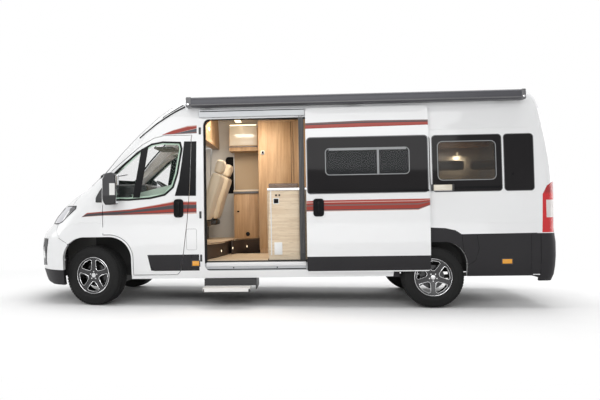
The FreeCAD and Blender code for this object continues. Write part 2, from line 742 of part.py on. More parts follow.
for across_y in (-1, 1):
    middle = across_y * rail_middle
    tow_pad = slab(tow_middle.x - s.pad_length / 2, tow_middle.x + s.pad_length / 2, middle - half_pad,
                   middle + half_pad, tow_middle.z - s.pad_drop, tow_middle.z + s.pad_seat)
    floor_pan = floor_pan.fuse(tow_pad)
    for along_x in (-1, 1):
        foot = FreeCAD.Vector(tow_middle.x + along_x * s.tow_pitch / 2, middle, tow_middle.z - s.overrun)
        floor_pan = floor_pan.cut(Part.makeCylinder(s.tow_hole_radius, s.overrun + s.tow_hole_depth, foot))
keep("floor_pan", floor_pan, FreeCAD.Placement())
placed_floor = made[-1].Shape

# Doorway furniture: rails, carriage and arms of the sliding door, flyscreen cassette
slid_front = slider_front + s.slider_travel
slid_rear = slider_rear + s.slider_travel
slider_seat = s.half_width + s.slider_out - s.wall
upper_rail = seated(slab(s.track_reach, slid_front - s.shut_gap, -s.track_out, -s.locker_outer,
                         s.doorway_top + s.arch_lip, s.roof_seam - s.skin), outer)
lower_track = seated(slab(s.doorway_front, slid_front, -s.step_outer, -s.tread_in + s.wall,
                          s.doorway_bottom, s.doorway_bottom + s.track_low), half_floor, half_body.cut(doorway))
mid_rail = slab(s.doorway_rear, s.mid_rail_rear, -s.mid_rail_out, -s.tread_in, s.mid_rail_low, s.mid_rail_high)
rail_end = slab(slid_rear + s.shut_gap, s.mid_rail_rear, -s.mid_rail_cap, -s.tread_in, s.mid_rail_low,
                s.mid_rail_high)
carriage = slab(slid_rear - s.carriage, slid_rear - s.wall, -slider_seat, -s.mid_rail_out,
                s.mid_rail_low, s.mid_rail_high)
low_arm = slab(slid_front + s.skin, slid_front + s.carriage, -slider_seat, -s.step_outer,
               s.doorway_bottom + s.skin, s.doorway_bottom + s.wall)
low_arm = low_arm.fuse(slab(slid_front - s.carriage, slid_front + s.carriage, -s.step_outer, -s.tread_in,
                            s.doorway_bottom + s.skin, s.doorway_bottom + s.wall))
middle_track = seated(mid_rail.fuse([rail_end, carriage]), outer, slider, slider_window, *left_windows)
lower_track = seated(lower_track.fuse(low_arm), outer.cut(doorway), slider)
keep("door_tracks", Part.makeCompound([upper_rail, lower_track, middle_track]))
keep("flyscreen_cassette", slab(s.cassette_front, s.cassette_front + s.cassette, -s.cassette_outer,
                                -s.cassette_inner, s.floor_top, s.doorway_top))

# Awning along the left roof edge on three brackets
awning = across(side_outline([(s.awning_front, s.awning_bottom), (s.awning_rear, s.awning_bottom),
                              (s.awning_rear, s.awning_top), (s.awning_front, s.awning_top)], s.skin),
                -s.awning_outer, -s.awning_inner)
long_edges = [edge for edge in awning.Edges
              if edge.BoundBox.XLength > s.cab_door_rear and edge.BoundBox.YMin < s.skin - s.awning_outer]
awning = awning.makeFillet(s.awning_corner, long_edges)
bracket_shares = (0.06, 0.5, 0.94)
for share in bracket_shares:
    middle = s.awning_front + share * (s.awning_rear - s.awning_front)
    bracket = slab(middle - s.bracket_width / 2, middle + s.bracket_width / 2, -s.awning_inner, -s.locker_outer,
                   s.awning_bottom + s.bracket_drop, s.awning_top - s.bracket_drop)
    awning = awning.fuse(seated(bracket, outer))
keep("awning_box", awning)

# Rooflights
rooflights = []
for front, length in ((s.rooflight_front, s.rooflight_long), (s.rooflight_rear, s.rooflight_small)):
    dome = slab(front, front + length, -s.rooflight_wide / 2, s.rooflight_wide / 2, s.roof_height,
                s.roof_height + s.rooflight_rise)
    top = [edge for edge in dome.Edges if edge.BoundBox.ZMin > s.roof_height]
    rooflights.append(dome.makeChamfer(s.rooflight_rise / 2, top))
keep("rooflights", Part.makeCompound(rooflights))

# Engine block on its mounts, tanks and exhaust under the floor
engine_rear = s.engine_front + s.engine_length
engine = slab(s.engine_front, engine_rear, -s.engine_width / 2, s.engine_width / 2, s.engine_bottom,
              s.engine_bottom + s.engine_height)
mounts = slab(s.engine_front + s.beam_length / 2, engine_rear - s.beam_length / 2, -s.rail_inner, s.rail_inner,
              s.engine_bottom, s.engine_bottom + s.floor_thick)
keep("engine_block", engine.fuse(mounts).removeSplitter())
tank_low = floor_bottom - s.tank_height
fuel_tank = slab(s.doorway_front, s.doorway_front + s.tank_length, s.rail_outer, s.rail_outer + s.tank_width,
                 tank_low, floor_bottom)
water_tank = slab(s.tank_front, s.tank_front + s.tank_length, -s.rail_outer - s.tank_width, -s.rail_outer,
                  tank_low, floor_bottom)
silencer = slab(s.tank_front, s.tank_front + s.tank_length / 2, s.carriage, s.rail_inner - s.carriage,
                floor_bottom - s.carriage, floor_bottom)
pipe_start = FreeCAD.Vector(s.floor_front, s.rail_inner / 2, floor_bottom - s.wall)
pipe = Part.makeCylinder(s.pipe_radius, s.rear_frame - s.floor_front, pipe_start, FreeCAD.Vector(1, 0, 0))
soften = [tank.makeFillet(s.arch_lip, [e for e in tank.Edges if e.BoundBox.ZMax < floor_bottom])
          for tank in (fuel_tank, water_tank)]
keep("tanks_and_exhaust", Part.makeCompound([*soften, silencer.fuse(pipe)]))

# Slide-out entrance step
step_box = slab(s.step_front, s.step_rear, -s.step_outer, -s.rail_outer, s.step_bottom, s.sill - s.shut_gap)
step_slot = slab(s.step_front + s.step_wall, s.step_rear - s.step_wall, -BEYOND, -s.step_inner, -s.overrun,
                 s.step_top)
hanger = slab(s.step_front, s.step_rear, -s.locker_outer, -s.rail_outer, s.step_top, s.sill + s.skin)
keep("step_housing", step_box.cut(step_slot).fuse(hanger).removeSplitter())
tread_top = s.step_top - s.tread_play
tread = slab(s.step_front + s.step_wall + s.tread_play, s.step_tread_rear, -s.tread_out, -s.tread_in + s.wall,
             tread_top - s.tread_thick, tread_top)
keep("step_tread", tread)

# Mirrors on the cab doors
mirror_shares = [(0.02, 0.12), (0.2, 0), (0.9, 0.02), (1, 0.16), (0.94, 0.92), (0.72, 1), (0.28, 0.98), (0, 0.8)]
mirror_frame = (s.mirror_front, s.mirror_rear, s.mirror_bottom, s.mirror_top)
mirror = across(side_outline(spread(mirror_shares, *mirror_frame), s.skin), -s.mirror_outer, -s.mirror_inner)
outer_rim = [edge for edge in mirror.Edges if edge.BoundBox.YMax < s.seam - s.mirror_outer]
mirror = mirror.makeFillet(s.mirror_bevel, outer_rim)
arm_rear = s.mirror_front + s.mirror_arm + s.mirror_arm
arm = slab(s.mirror_front + s.mirror_arm, arm_rear, -s.mirror_inner - s.mirror_arm, -s.tread_in,
           s.mirror_bottom + s.arch_lip, s.mirror_bottom + s.arch_lip + s.mirror_corner)
mirror = mirror.fuse(seated(arm, outer)).removeSplitter()
keep("mirror_left", mirror)
keep("mirror_right", mirrored(mirror))

# Cab: raised floor, seats, dashboard and steering
stage_shares = [(0.46, 0.9), (0.49, 0.58), (0.525, 0.04), (0.55, -0.78), (0.552, -1)]
stage_edge = Part.BSplineCurve()
stage_edge.interpolate([FreeCAD.Vector(x * s.stage_reach, -y * s.half_width, s.floor_top)
                        for x, y in stage_shares])
ends = (stage_edge.value(stage_edge.FirstParameter), stage_edge.value(stage_edge.LastParameter))
corners = [FreeCAD.Vector(s.floor_front, end.y, s.floor_top) for end in ends]
straights = [Part.makeLine(ends[1], corners[1]), Part.makeLine(corners[1], corners[0]),
             Part.makeLine(corners[0], ends[0])]
stage_wire = Part.Wire([stage_edge.toShape(), *straights])
stage = Part.Face(stage_wire).extrude(FreeCAD.Vector(0, 0, s.stage_top - s.floor_top))
stage = stage.common(inner_left).fuse(stage.common(inner_right)).removeSplitter()
stage = seated(stage, half_floor, mirrored(half_floor))
keep("raised_floor", stage)


def soft(length, width, height, radius):
    """A cushion-like block, rounded all over, standing on its own origin."""
    box = Part.makeBox(length, width, height, FreeCAD.Vector(0, -width / 2, 0))
    return box.makeFillet(radius, box.Edges)


seats = []
bases = []
seat_rear = s.seat_front + s.seat_length
for sign in SIDES.values():
    place = FreeCAD.Vector(s.seat_front, sign * s.seat_place, s.seat_top - s.seat_cushion)
    cushion = soft(s.seat_length, s.seat_width, s.seat_cushion, s.arch_lip)
    cushion.translate(place)
    back = soft(s.seat_back, s.seat_width, s.seat_back_height, s.arch_lip)
    head = soft(s.seat_back - s.skin, s.head_width, s.head_height, s.arch_lip)
    head.translate(FreeCAD.Vector(0, 0, s.seat_back_height - s.skin))
    back = back.fuse(head)
    back.rotate(FreeCAD.Vector(0, 0, 0), FreeCAD.Vector(0, 1, 0), s.seat_lean)
    back.translate(place + FreeCAD.Vector(s.seat_length - s.skin, 0, s.skin))
    seats.append(cushion.fuse(back))
    bases.append(slab(s.seat_front + s.wall, seat_rear - s.wall, sign * s.seat_place - s.seat_base / 2,
                      sign * s.seat_place + s.seat_base / 2, s.stage_top, s.seat_top - s.seat_cushion))
keep("cab_seats", Part.makeCompound(seats))
keep("seat_bases", Part.makeCompound(bases))

tilt = math.radians(s.steering_tilt)
column_axis = FreeCAD.Vector(math.sin(tilt), 0, math.cos(tilt))
steering_centre = FreeCAD.Vector(s.steering_x, s.steering_y, s.steering_z)
half_dash = slab(bulkhead_rear, s.dash_rear, -s.dash_half, 0, s.dash_top - s.dash_height, s.dash_top)
half_dash = half_dash.common(inner_left)
dash = half_dash.fuse(mirrored(half_dash)).removeSplitter()
dash = dash.makeFillet(s.mirror_corner, [e for e in dash.Edges if e.BoundBox.XMin > s.dash_rear - s.seam])
column_foot = steering_centre - column_axis * (s.column_length + s.axle_play + s.steering_rim)
column = Part.makeCylinder(s.column_radius, s.column_length, column_foot, column_axis)
keep("dashboard", dash.fuse(column).removeSplitter())
grip_angles = [math.radians(turn) for turn in range(0, 360, 45)]
grip_middle = FreeCAD.Vector(s.steering_radius, 0, 0)
grip_points = [grip_middle + FreeCAD.Vector(math.cos(angle), 0, math.sin(angle)) * s.steering_rim
               for angle in grip_angles]
grip = Part.Face(Part.makePolygon(grip_points + grip_points[:1])).revolve(
    FreeCAD.Vector(0, 0, 0), FreeCAD.Vector(0, 0, 1), 360)
grip.rotate(FreeCAD.Vector(0, 0, 0), FreeCAD.Vector(0, 1, 0), s.steering_tilt)
grip.translate(steering_centre)
grip_width = s.steering_rim + s.steering_rim
boss = Part.makeCylinder(s.column_radius + s.steering_rim, grip_width,
                         steering_centre - column_axis * s.steering_rim, column_axis)
for turn in (0, 120, 240):
    spoke = Part.makeBox(s.steering_radius, grip_width, s.steering_rim,
                         FreeCAD.Vector(0, -s.steering_rim, -s.steering_rim / 2))
    spoke.rotate(FreeCAD.Vector(0, 0, 0), FreeCAD.Vector(0, 0, 1), turn)
    spoke.rotate(FreeCAD.Vector(0, 0, 0), FreeCAD.Vector(0, 1, 0), s.steering_tilt)
    spoke.translate(steering_centre)
    boss = boss.fuse(spoke)
keep("steering_wheel", boss.fuse(grip))

# Living space
kitchen = slab(s.kitchen_front, s.kitchen_rear, -s.kitchen_outer, s.kitchen_depth - s.kitchen_outer,
               s.floor_top, s.kitchen_top)
plinth = slab(s.kitchen_front, s.kitchen_rear, s.kitchen_depth - s.kitchen_outer - s.kitchen_foot, 0,
              s.floor_top, s.floor_top + s.kitchen_foot)
basin = slab(s.kitchen_front + s.sink_depth, s.kitchen_front + s.kitchen_depth, s.wall - s.kitchen_outer,
             s.kitchen_depth - s.kitchen_outer - s.sink_rim, s.kitchen_top - s.sink_depth, s.roof_height)
keep("kitchen_unit", kitchen.cut(plinth).cut(basin))
wardrobe = slab(s.wardrobe_front, s.wardrobe_rear, s.wardrobe_inner, s.wardrobe_outer, s.floor_top,
                s.wardrobe_top)
keep("wardrobe", wardrobe.common(inner_right))
board = slab(s.board_front, s.board_rear, s.board_inner, s.wardrobe_outer, s.floor_top, s.board_top)
keep("sideboard", seated(board.common(inner_right), stage))
bed_locker = slab(s.bed_front, s.locker_rear, -BEYOND, -s.locker_inner, s.locker_bottom, s.locker_top)
bed_locker = bed_locker.common(inner_left)
front_locker = slab(s.locker_front, s.board_rear, s.locker_inner, BEYOND, s.locker_bottom, s.locker_top)
cab_locker = slab(s.cab_door_rear + s.skin, s.doorway_front - s.skin, -BEYOND, 0, s.locker_bottom + s.wall,
                  s.roof_height).common(inner_left)
cab_locker = cab_locker.fuse(mirrored(cab_locker)).removeSplitter()
front_locker = front_locker.common(inner_right)
keep("overhead_lockers", Part.makeCompound([bed_locker, mirrored(bed_locker), front_locker, cab_locker]))
platform = slab(s.bed_front, s.bed_rear, -s.bed_half, s.bed_half, s.bed_top - s.bed_board, s.bed_top)
for sign in SIDES.values():
    middle = sign * (s.locker_inner + s.skin)
    platform = platform.fuse(slab(s.bed_front, s.bed_rear, middle - s.skin, middle + s.skin, s.floor_top,
                                  s.bed_top - s.bed_board))
keep("bed_platform", platform)
keep("mattress", slab(s.bed_front + s.skin, s.bed_rear - s.skin, s.skin - s.bed_half, s.bed_half - s.skin,
                      s.bed_top, s.bed_top + s.mattress))

# Running gear, level with the ground
half_rim = s.rim_width / 2
half_tyre = s.tyre_width / 2
rim_bore = s.rim_radius - s.rim_wall
rim_middle = s.rim_radius - s.rim_wall / 2
tyre_profile = [
    (half_tyre, s.rim_radius), (half_tyre, s.tyre_radius - s.shoulder_drop),
    (half_tyre - s.shoulder_inset, s.tyre_radius),
]
barrel_profile = [
    (-half_rim, s.rim_radius), (half_rim, s.rim_radius), (half_rim, rim_bore), (-half_rim, rim_bore),
]
plate_inner = PLATE_SHARE * half_rim
plate_outer = half_rim - s.rim_wall / 2
plate_profile = [
    (plate_inner, s.hub_radius / 2), (plate_inner + s.spoke_plate, s.hub_radius / 2),
    (plate_outer, rim_middle), (plate_outer - s.spoke_plate, rim_middle),
]
hub_profile = [
    (0, s.axle_radius + s.axle_play), (s.axle_reach, s.axle_radius + s.axle_play), (s.axle_reach, 0),
    (plate_inner + s.spoke_plate, 0), (plate_inner + s.spoke_plate, HUB_SHARE * s.hub_radius), (0, s.hub_radius),
]
disc_bore = s.hub_radius / 2 + s.rim_wall
disc_profile = [(0, disc_bore), (s.disc_plate, disc_bore), (s.disc_plate, s.disc_radius), (0, s.disc_radius)]
opening_shares = [(-0.07, 0.37), (0.07, 0.37), (0.24, 0.56), (0.39, 0.78), (0.32, 0.88), (0, 0.935),
                  (-0.32, 0.88), (-0.39, 0.78), (-0.24, 0.56)]
opening_turns = range(0, 360, 72)


def turned(profile, sign):
    """Ring turned about the wheel's axle from (outward place, radius) points."""
    points = [FreeCAD.Vector(0, sign * place, radius) for place, radius in profile]
    return Part.Face(Part.makePolygon(points + points[:1])).revolve(
        FreeCAD.Vector(0, 0, 0), FreeCAD.Vector(0, 1, 0), 360)


def wheel(corner, placement, sign, first_opening):
    """A tyre and its five-spoke rim with the brake disc."""
    profile = tyre_profile + [(-place, radius) for place, radius in reversed(tyre_profile)]
    barrel = turned(barrel_profile, sign)
    keep(f"tyre_{corner}", turned(profile, sign), placement)
    plate = turned(plate_profile, sign)
    outline = [FreeCAD.Vector(x * rim_bore, 0, z * rim_bore) for x, z in opening_shares]
    opening = Part.Face(Part.makePolygon(outline + outline[:1]))
    opening.translate(FreeCAD.Vector(0, -s.rim_width, 0))
    opening = opening.extrude(FreeCAD.Vector(0, s.rim_width + s.rim_width, 0))
    for turn in opening_turns:
        hole = opening.copy()
        hole.rotate(FreeCAD.Vector(0, 0, 0), FreeCAD.Vector(0, 1, 0), turn + first_opening)
        plate = plate.cut(hole)
    rim = barrel.fuse([plate, turned(hub_profile, sign), turned(disc_profile, sign)])
    keep(f"rim_{corner}", rim, placement)


front_x = FRONT_AXLE.x
rear_x = front_x + s.wheelbase
kingpin_y = s.front_track / 2 - s.kingpin_inset
steered = FreeCAD.Rotation(FreeCAD.Vector(0, 0, 1), -s.steer_rest)
for name, sign in SIDES.items():
    kingpin = FreeCAD.Placement(FreeCAD.Vector(front_x, sign * kingpin_y, s.tyre_radius), steered)
    front_wheel = kingpin * FreeCAD.Placement(FreeCAD.Vector(0, sign * s.kingpin_inset, 0), FreeCAD.Rotation())
    wheel(f"front_{name}", front_wheel, sign, 180)
    rear_centre = FreeCAD.Vector(rear_x, sign * s.rear_track / 2, s.tyre_radius)
    wheel(f"rear_{name}", FreeCAD.Placement(rear_centre, FreeCAD.Rotation()), sign, 0)
    # upright and stub axle, turned with the wheel
    pin_foot = s.ball_rise - s.pin_height
    upright = slab(-s.column_radius, s.column_radius, -s.axle_reach, -s.knuckle_gap, -pin_foot, pin_foot)
    upright = upright.fuse(Part.makeCylinder(s.pin_radius, s.ball_rise + s.ball_rise,
                                             FreeCAD.Vector(0, -s.kingpin_inset, -s.ball_rise)))
    stub = Part.makeCylinder(s.axle_radius, s.axle_reach + s.knuckle_gap - s.axle_play,
                             FreeCAD.Vector(0, -s.knuckle_gap, 0), FreeCAD.Vector(0, 1, 0))
    knuckle = upright.fuse(stub)
    if sign < 0:
        knuckle = mirrored(knuckle)
    keep(f"knuckle_{name}", knuckle, front_wheel)

LEVEL = FreeCAD.Placement(FreeCAD.Vector(front_x, 0, 0), FreeCAD.Rotation())
half_beam = s.beam_length / 2
subframe = slab(-half_beam, half_beam, -s.beam_width / 2, s.beam_width / 2, s.beam_bottom,
                s.beam_bottom + s.beam_height)
tower_top = s.tyre_radius + s.ball_rise + s.axle_play + s.arm_height
for sign in SIDES.values():
    tower_inner = sign * (s.beam_width / 2 - s.tower_width)
    tower_outer = sign * s.beam_width / 2
    subframe = subframe.fuse(slab(-s.tower_length / 2, s.tower_length / 2, min(tower_inner, tower_outer),
                                  max(tower_inner, tower_outer), s.beam_bottom, tower_top + s.arm_height))
    subframe = subframe.fuse(slab(-half_beam, half_beam, min(sign * s.rail_inner, sign * s.rail_outer),
                                  max(sign * s.rail_inner, sign * s.rail_outer), s.beam_bottom,
                                  s.rail_bottom + s.wall))
    for level in (-1, 1):
        near = s.tyre_radius + level * (s.ball_rise + s.axle_play)
        far = near + level * s.arm_height
        ball = sign * kingpin_y
        subframe = subframe.fuse(slab(-s.arm_length / 2, s.arm_length / 2, min(tower_inner, ball),
                                      max(tower_inner, ball), min(near, far), max(near, far)))
subframe.Placement = LEVEL
subframe = seated(subframe, placed_floor)
keep("front_subframe", subframe.removeSplitter(), FreeCAD.Placement())

axle_half = s.rear_track / 2
beam_half = axle_half - s.axle_reach
stub_half = axle_half + s.axle_reach - s.axle_play
beam = Part.makeCylinder(s.axle_beam, beam_half + beam_half, FreeCAD.Vector(0, -beam_half, s.tyre_radius),
                         FreeCAD.Vector(0, 1, 0))
stubs = Part.makeCylinder(s.axle_radius, stub_half + stub_half, FreeCAD.Vector(0, -stub_half, s.tyre_radius),
                          FreeCAD.Vector(0, 1, 0))
rear_axle = beam.fuse(stubs)
leaf_low = s.tyre_radius - s.leaf_drop
half_leaf = s.spring_length / 2
bows = []
for level in (leaf_low, leaf_low + s.leaf):
    bows.append(Part.Arc(FreeCAD.Vector(-half_leaf, 0, level + s.leaf_sag), FreeCAD.Vector(0, 0, level),
                         FreeCAD.Vector(half_leaf, 0, level + s.leaf_sag)).toShape())
leaf_end_low = leaf_low + s.leaf_sag
leaf_ends = [Part.makeLine(FreeCAD.Vector(end, 0, leaf_end_low), FreeCAD.Vector(end, 0, leaf_end_low + s.leaf))
             for end in (-half_leaf, half_leaf)]
leaf_outline = Part.Wire(Part.__sortEdges__([*bows, *leaf_ends]))
for sign in SIDES.values():
    middle = sign * s.spring_place
    rear_axle = rear_axle.fuse(across(leaf_outline, middle - s.spring_width / 2, middle + s.spring_width / 2))
    for end in (-1, 1):
        shackle = end * (s.spring_length - s.spring_width) / 2
        rear_axle = rear_axle.fuse(slab(shackle - s.spring_width / 2, shackle + s.spring_width / 2,
                                        middle - s.spring_width / 2, middle + s.spring_width / 2,
                                        leaf_end_low, s.shackle_top))
rear_axle.Placement = FreeCAD.Placement(FreeCAD.Vector(rear_x, 0, 0), FreeCAD.Rotation())
keep("rear_axle", seated(rear_axle, placed_floor), FreeCAD.Placement())

doc.recompute()
troubles = [thing.Label for thing in doc.Objects if "Invalid" in thing.State or "Error" in thing.State]
troubles += [piece.Label for piece in made if piece.Shape.isNull() or not piece.Shape.isValid()]
if troubles:
    raise RuntimeError("failed pieces: " + ", ".join(troubles))
for piece in made:
    piece.Shape.exportStep(f"parts/{piece.Label}.step")
print("pieces", len(made))
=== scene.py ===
# %% [markdown]
# # A camper van, dressed
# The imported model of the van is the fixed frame. Everything here gives it its finish: paint, glass,
# rubber, wood and cloth, and the small pieces that the frame leaves out. The frame comes first, because
# every piece takes its place from it.

# %% The frame
import bmesh
import bpy
import math
from mathutils import Matrix, Vector
from mathutils.bvhtree import BVHTree


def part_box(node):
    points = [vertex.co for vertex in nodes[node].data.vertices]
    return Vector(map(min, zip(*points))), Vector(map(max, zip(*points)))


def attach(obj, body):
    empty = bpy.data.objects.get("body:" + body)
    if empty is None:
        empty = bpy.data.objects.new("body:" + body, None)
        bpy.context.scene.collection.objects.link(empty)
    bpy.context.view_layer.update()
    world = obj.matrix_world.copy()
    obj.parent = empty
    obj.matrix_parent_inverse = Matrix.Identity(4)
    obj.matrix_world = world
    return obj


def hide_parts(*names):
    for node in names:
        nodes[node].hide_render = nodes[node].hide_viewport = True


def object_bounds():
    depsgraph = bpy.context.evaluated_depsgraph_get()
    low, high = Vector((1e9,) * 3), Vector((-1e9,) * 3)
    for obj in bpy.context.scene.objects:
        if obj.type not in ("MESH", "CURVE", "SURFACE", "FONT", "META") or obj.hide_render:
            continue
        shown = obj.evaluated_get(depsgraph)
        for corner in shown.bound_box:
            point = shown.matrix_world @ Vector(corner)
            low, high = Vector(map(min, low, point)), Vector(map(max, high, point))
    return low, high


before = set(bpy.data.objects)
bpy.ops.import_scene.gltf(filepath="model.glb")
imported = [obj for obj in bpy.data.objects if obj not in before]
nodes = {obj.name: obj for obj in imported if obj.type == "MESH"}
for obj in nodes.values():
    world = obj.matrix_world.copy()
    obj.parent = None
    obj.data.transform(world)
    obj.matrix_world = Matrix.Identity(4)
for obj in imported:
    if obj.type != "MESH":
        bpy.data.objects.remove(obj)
cad_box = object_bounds()
print("nodes", len(nodes), "box", [round(value, 3) for corner in cad_box for value in corner])

# %% [markdown]
# The body stands a little nose-down on its wheels, and everything on its sides follows the body, not
# the floor. So places on the body are given in the body's own axes: metres behind the front axle, and
# metres above a level 0.35 m under the hubs. One small function goes from there to the frame, and the
# finishes have one that goes back.

# %% The body's own axes
rear_low, rear_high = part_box("tyre_rear_left")
HUB = (rear_low.z + rear_high.z) / 2
WHEELBASE = 4.035
FRONT_AXLE = (rear_low.x + rear_high.x) / 2 - WHEELBASE
HUB_LEVEL = 0.35
RAKE = math.radians(0.94)


def on_body(x, y, z):
    """A place on the body, in the frame's axes."""
    up = z - HUB_LEVEL
    return Vector((FRONT_AXLE + x * math.cos(RAKE) - up * math.sin(RAKE), y,
                   HUB + x * math.sin(RAKE) + up * math.cos(RAKE)))


print("front axle", round(FRONT_AXLE, 4), "hub", round(HUB, 4))

# %% [markdown]
# A finish is a handful of numbers that change over the surface. Shader maths reads best as plain
# arithmetic, so a small class wraps a socket: adding, multiplying or comparing two of them adds the
# Math node that does it. One method makes every other node.

# %% Shader maths as expressions
class Signal:
    """A socket that can stand in an expression."""

    def __init__(self, finish, socket):
        self.finish = finish
        self.socket = socket

    def math(self, operation, *values):
        return self.finish.make("ShaderNodeMath", {"operation": operation}, dict(enumerate((self, *values))))

    def __add__(self, other):
        return self.math("ADD", other)

    def __sub__(self, other):
        return self.math("SUBTRACT", other)

    def __rsub__(self, other):
        return self.finish.make("ShaderNodeMath", {"operation": "SUBTRACT"}, {0: other, 1: self})

    def __mul__(self, other):
        return self.math("MULTIPLY", other)

    def __truediv__(self, other):
        return self.math("DIVIDE", other)

    def __gt__(self, other):
        return self.math("GREATER_THAN", other)

    def __lt__(self, other):
        return self.math("LESS_THAN", other)

    def __or__(self, other):
        return self.math("MAXIMUM", other)

    def __and__(self, other):
        return self.math("MINIMUM", other)

    def __abs__(self):
        return self.math("ABSOLUTE")

    __radd__ = __add__
    __rmul__ = __mul__


class Finish:
    """A material: its shader, and the nodes that feed it."""

    def __init__(self, name, **constants):
        self.material = bpy.data.materials.new(name)
        self.material.use_nodes = True
        self.tree = self.material.node_tree
        self.shader = self.tree.nodes["Principled BSDF"]
        for socket, value in constants.items():
            self.shader.inputs[socket.replace("_", " ")].default_value = value

    def make(self, kind, settings=None, sockets=None, output=0):
        """Any node: its settings first, then the values or links of its sockets."""
        node = self.tree.nodes.new(kind)
        for key, value in (settings or {}).items():
            setattr(node, key, value)
        for key, value in (sockets or {}).items():
            if isinstance(value, Signal):
                self.tree.links.new(value.socket, node.inputs[key])
            else:
                node.inputs[key].default_value = value
        return Signal(self, node.outputs[output])

    def place(self):
        """Object coordinates, which stay with the piece."""
        return self.make("ShaderNodeTexCoord", output="Object")

    def split(self, vector):
        """The x, y and z of a vector."""
        node = self.make("ShaderNodeSeparateXYZ", sockets={0: vector}).socket.node
        return [Signal(self, socket) for socket in node.outputs]

    def body_axes(self):
        """Metres behind the front axle, across, and up, in the body's own axes."""
        x, y, z = self.split(self.place())
        behind, above = x - FRONT_AXLE, z - HUB
        return (behind * math.cos(RAKE) + above * math.sin(RAKE), y,
                above * math.cos(RAKE) - behind * math.sin(RAKE) + HUB_LEVEL)

    def ease(self, value, low, high, start=0.0, end=1.0):
        """From start to end as the value goes from low to high, and level outside."""
        return self.make("ShaderNodeMapRange", {"clamp": True},
                         {"Value": value, "From Min": low, "From Max": high, "To Min": start, "To Max": end})

    def noise(self, vector, scale, detail=3.0, rough=0.5):
        return self.make("ShaderNodeTexNoise", None,
                         {"Vector": vector, "Scale": scale, "Detail": detail, "Roughness": rough}, "Fac")

    def stretch(self, vector, scale):
        """The vector with each of its parts scaled."""
        return self.make("ShaderNodeVectorMath", {"operation": "MULTIPLY"}, {0: vector, 1: scale})

    def mix(self, mask, below, above):
        """The colour below, or above where the mask is 1."""
        return self.make("ShaderNodeMix", {"data_type": "RGBA"}, {0: mask, 6: shade(below), 7: shade(above)}, 2)

    def feed(self, **values):
        """Link what changes over the surface to the shader."""
        for socket, value in values.items():
            self.tree.links.new(value.socket, self.shader.inputs[socket.replace("_", " ")])
        return self.material

    def bump(self, height, depth):
        """A relief of that depth, in metres, into the shader's normal."""
        relief = self.make("ShaderNodeBump", None, {"Height": height, "Distance": depth, "Strength": 1.0})
        self.tree.links.new(relief.socket, self.shader.inputs["Normal"])
        return self


def shade(colour):
    """Three numbers as an opaque colour."""
    return colour if isinstance(colour, Signal) else (*colour, 1.0)


print("shader kit ready")

# %% [markdown]
# The camera stands where the photographer stood: eight metres off the van's left side, a little over
# a metre up, level and turned by three degrees. The light is soft and even, as in a studio. The
# background is white only for camera, mirror and glass rays, so that it adds no light.

# %% Camera, light and floor
CAMERA_PLACE = (0.1518, -9.0001, 1.1987)
CAMERA_TURN = math.radians(3.3015)
FOCAL_PIXELS = 672.19
PHOTO_WIDTH = 600
SHIFT = (0.0697, 0.0099)
SKY_LIGHT = 0.35
FLOOR_SIZE = 60
WHITE_FROM, WHITE_AT = 1.8, 4.6
bpy.ops.object.camera_add(location=CAMERA_PLACE, rotation=(math.pi / 2, 0, CAMERA_TURN))
camera = bpy.context.object
camera.data.sensor_width = 36
camera.data.lens = FOCAL_PIXELS * camera.data.sensor_width / PHOTO_WIDTH
camera.data.shift_x, camera.data.shift_y = SHIFT
scene = bpy.context.scene
scene.camera = camera
scene.view_settings.view_transform = "Standard"


def lamp(name, place, aim, size, power):
    """A soft box that shines from a place towards another."""
    bpy.ops.object.light_add(type="AREA", location=place)
    light = bpy.context.object
    light.name = name
    light.data.shape = "RECTANGLE"
    light.data.size, light.data.size_y = size
    light.data.energy = power
    light.rotation_euler = (Vector(aim) - Vector(place)).to_track_quat("-Z", "Y").to_euler()
    return light


lamp("overhead_box", (0, 0, 6.5), (0, 0, 0), (9, 5), 360)
lamp("side_box", (-1, -8.5, 4.2), (0, 0, 1.2), (10, 3), 275)
lamp("low_box", (0, -8.5, 0.6), (0, 0, 0.8), (9, 0.8), 45)
lamp("far_box", (1, 8.5, 4.2), (0, 0, 1.2), (10, 3), 330)
lamp("front_box", (-9, -1, 3.0), (0, 0, 1.2), (5, 3), 105)
lamp("rear_box", (9, 1, 3.0), (0, 0, 1.2), (5, 3), 190)


def wired(tree, kind, links=None, **settings):
    """A node with its settings, and the links into its sockets."""
    node = tree.nodes.new(kind)
    for key, value in settings.items():
        setattr(node, key, value)
    for key, output in (links or {}).items():
        tree.links.new(output, node.inputs[key])
    return node


def rays_that_see(tree):
    """One for camera, mirror and glass rays, and zero for those that only carry light."""
    path = wired(tree, "ShaderNodeLightPath").outputs
    either = wired(tree, "ShaderNodeMath", {0: path["Is Camera Ray"], 1: path["Is Glossy Ray"]},
                   operation="MAXIMUM")
    any_of = wired(tree, "ShaderNodeMath", {0: either.outputs[0], 1: path["Is Transmission Ray"]},
                   operation="MAXIMUM")
    return any_of.outputs[0]


def choose(tree, mask, below, above):
    """The shader below, or above where the mask is 1."""
    return wired(tree, "ShaderNodeMixShader", {"Fac": mask, 1: below, 2: above}).outputs[0]


world = bpy.data.worlds.new("studio")
scene.world = world
world.use_nodes = True
studio = world.node_tree
sky = studio.nodes["Background"]
sky.inputs["Strength"].default_value = SKY_LIGHT
glow = wired(studio, "ShaderNodeBackground")
for background in (sky, glow):
    background.inputs["Color"].default_value = (1, 1, 1, 1)
backdrop = choose(studio, rays_that_see(studio), sky.outputs[0], glow.outputs[0])
studio.links.new(backdrop, studio.nodes["World Output"].inputs["Surface"])

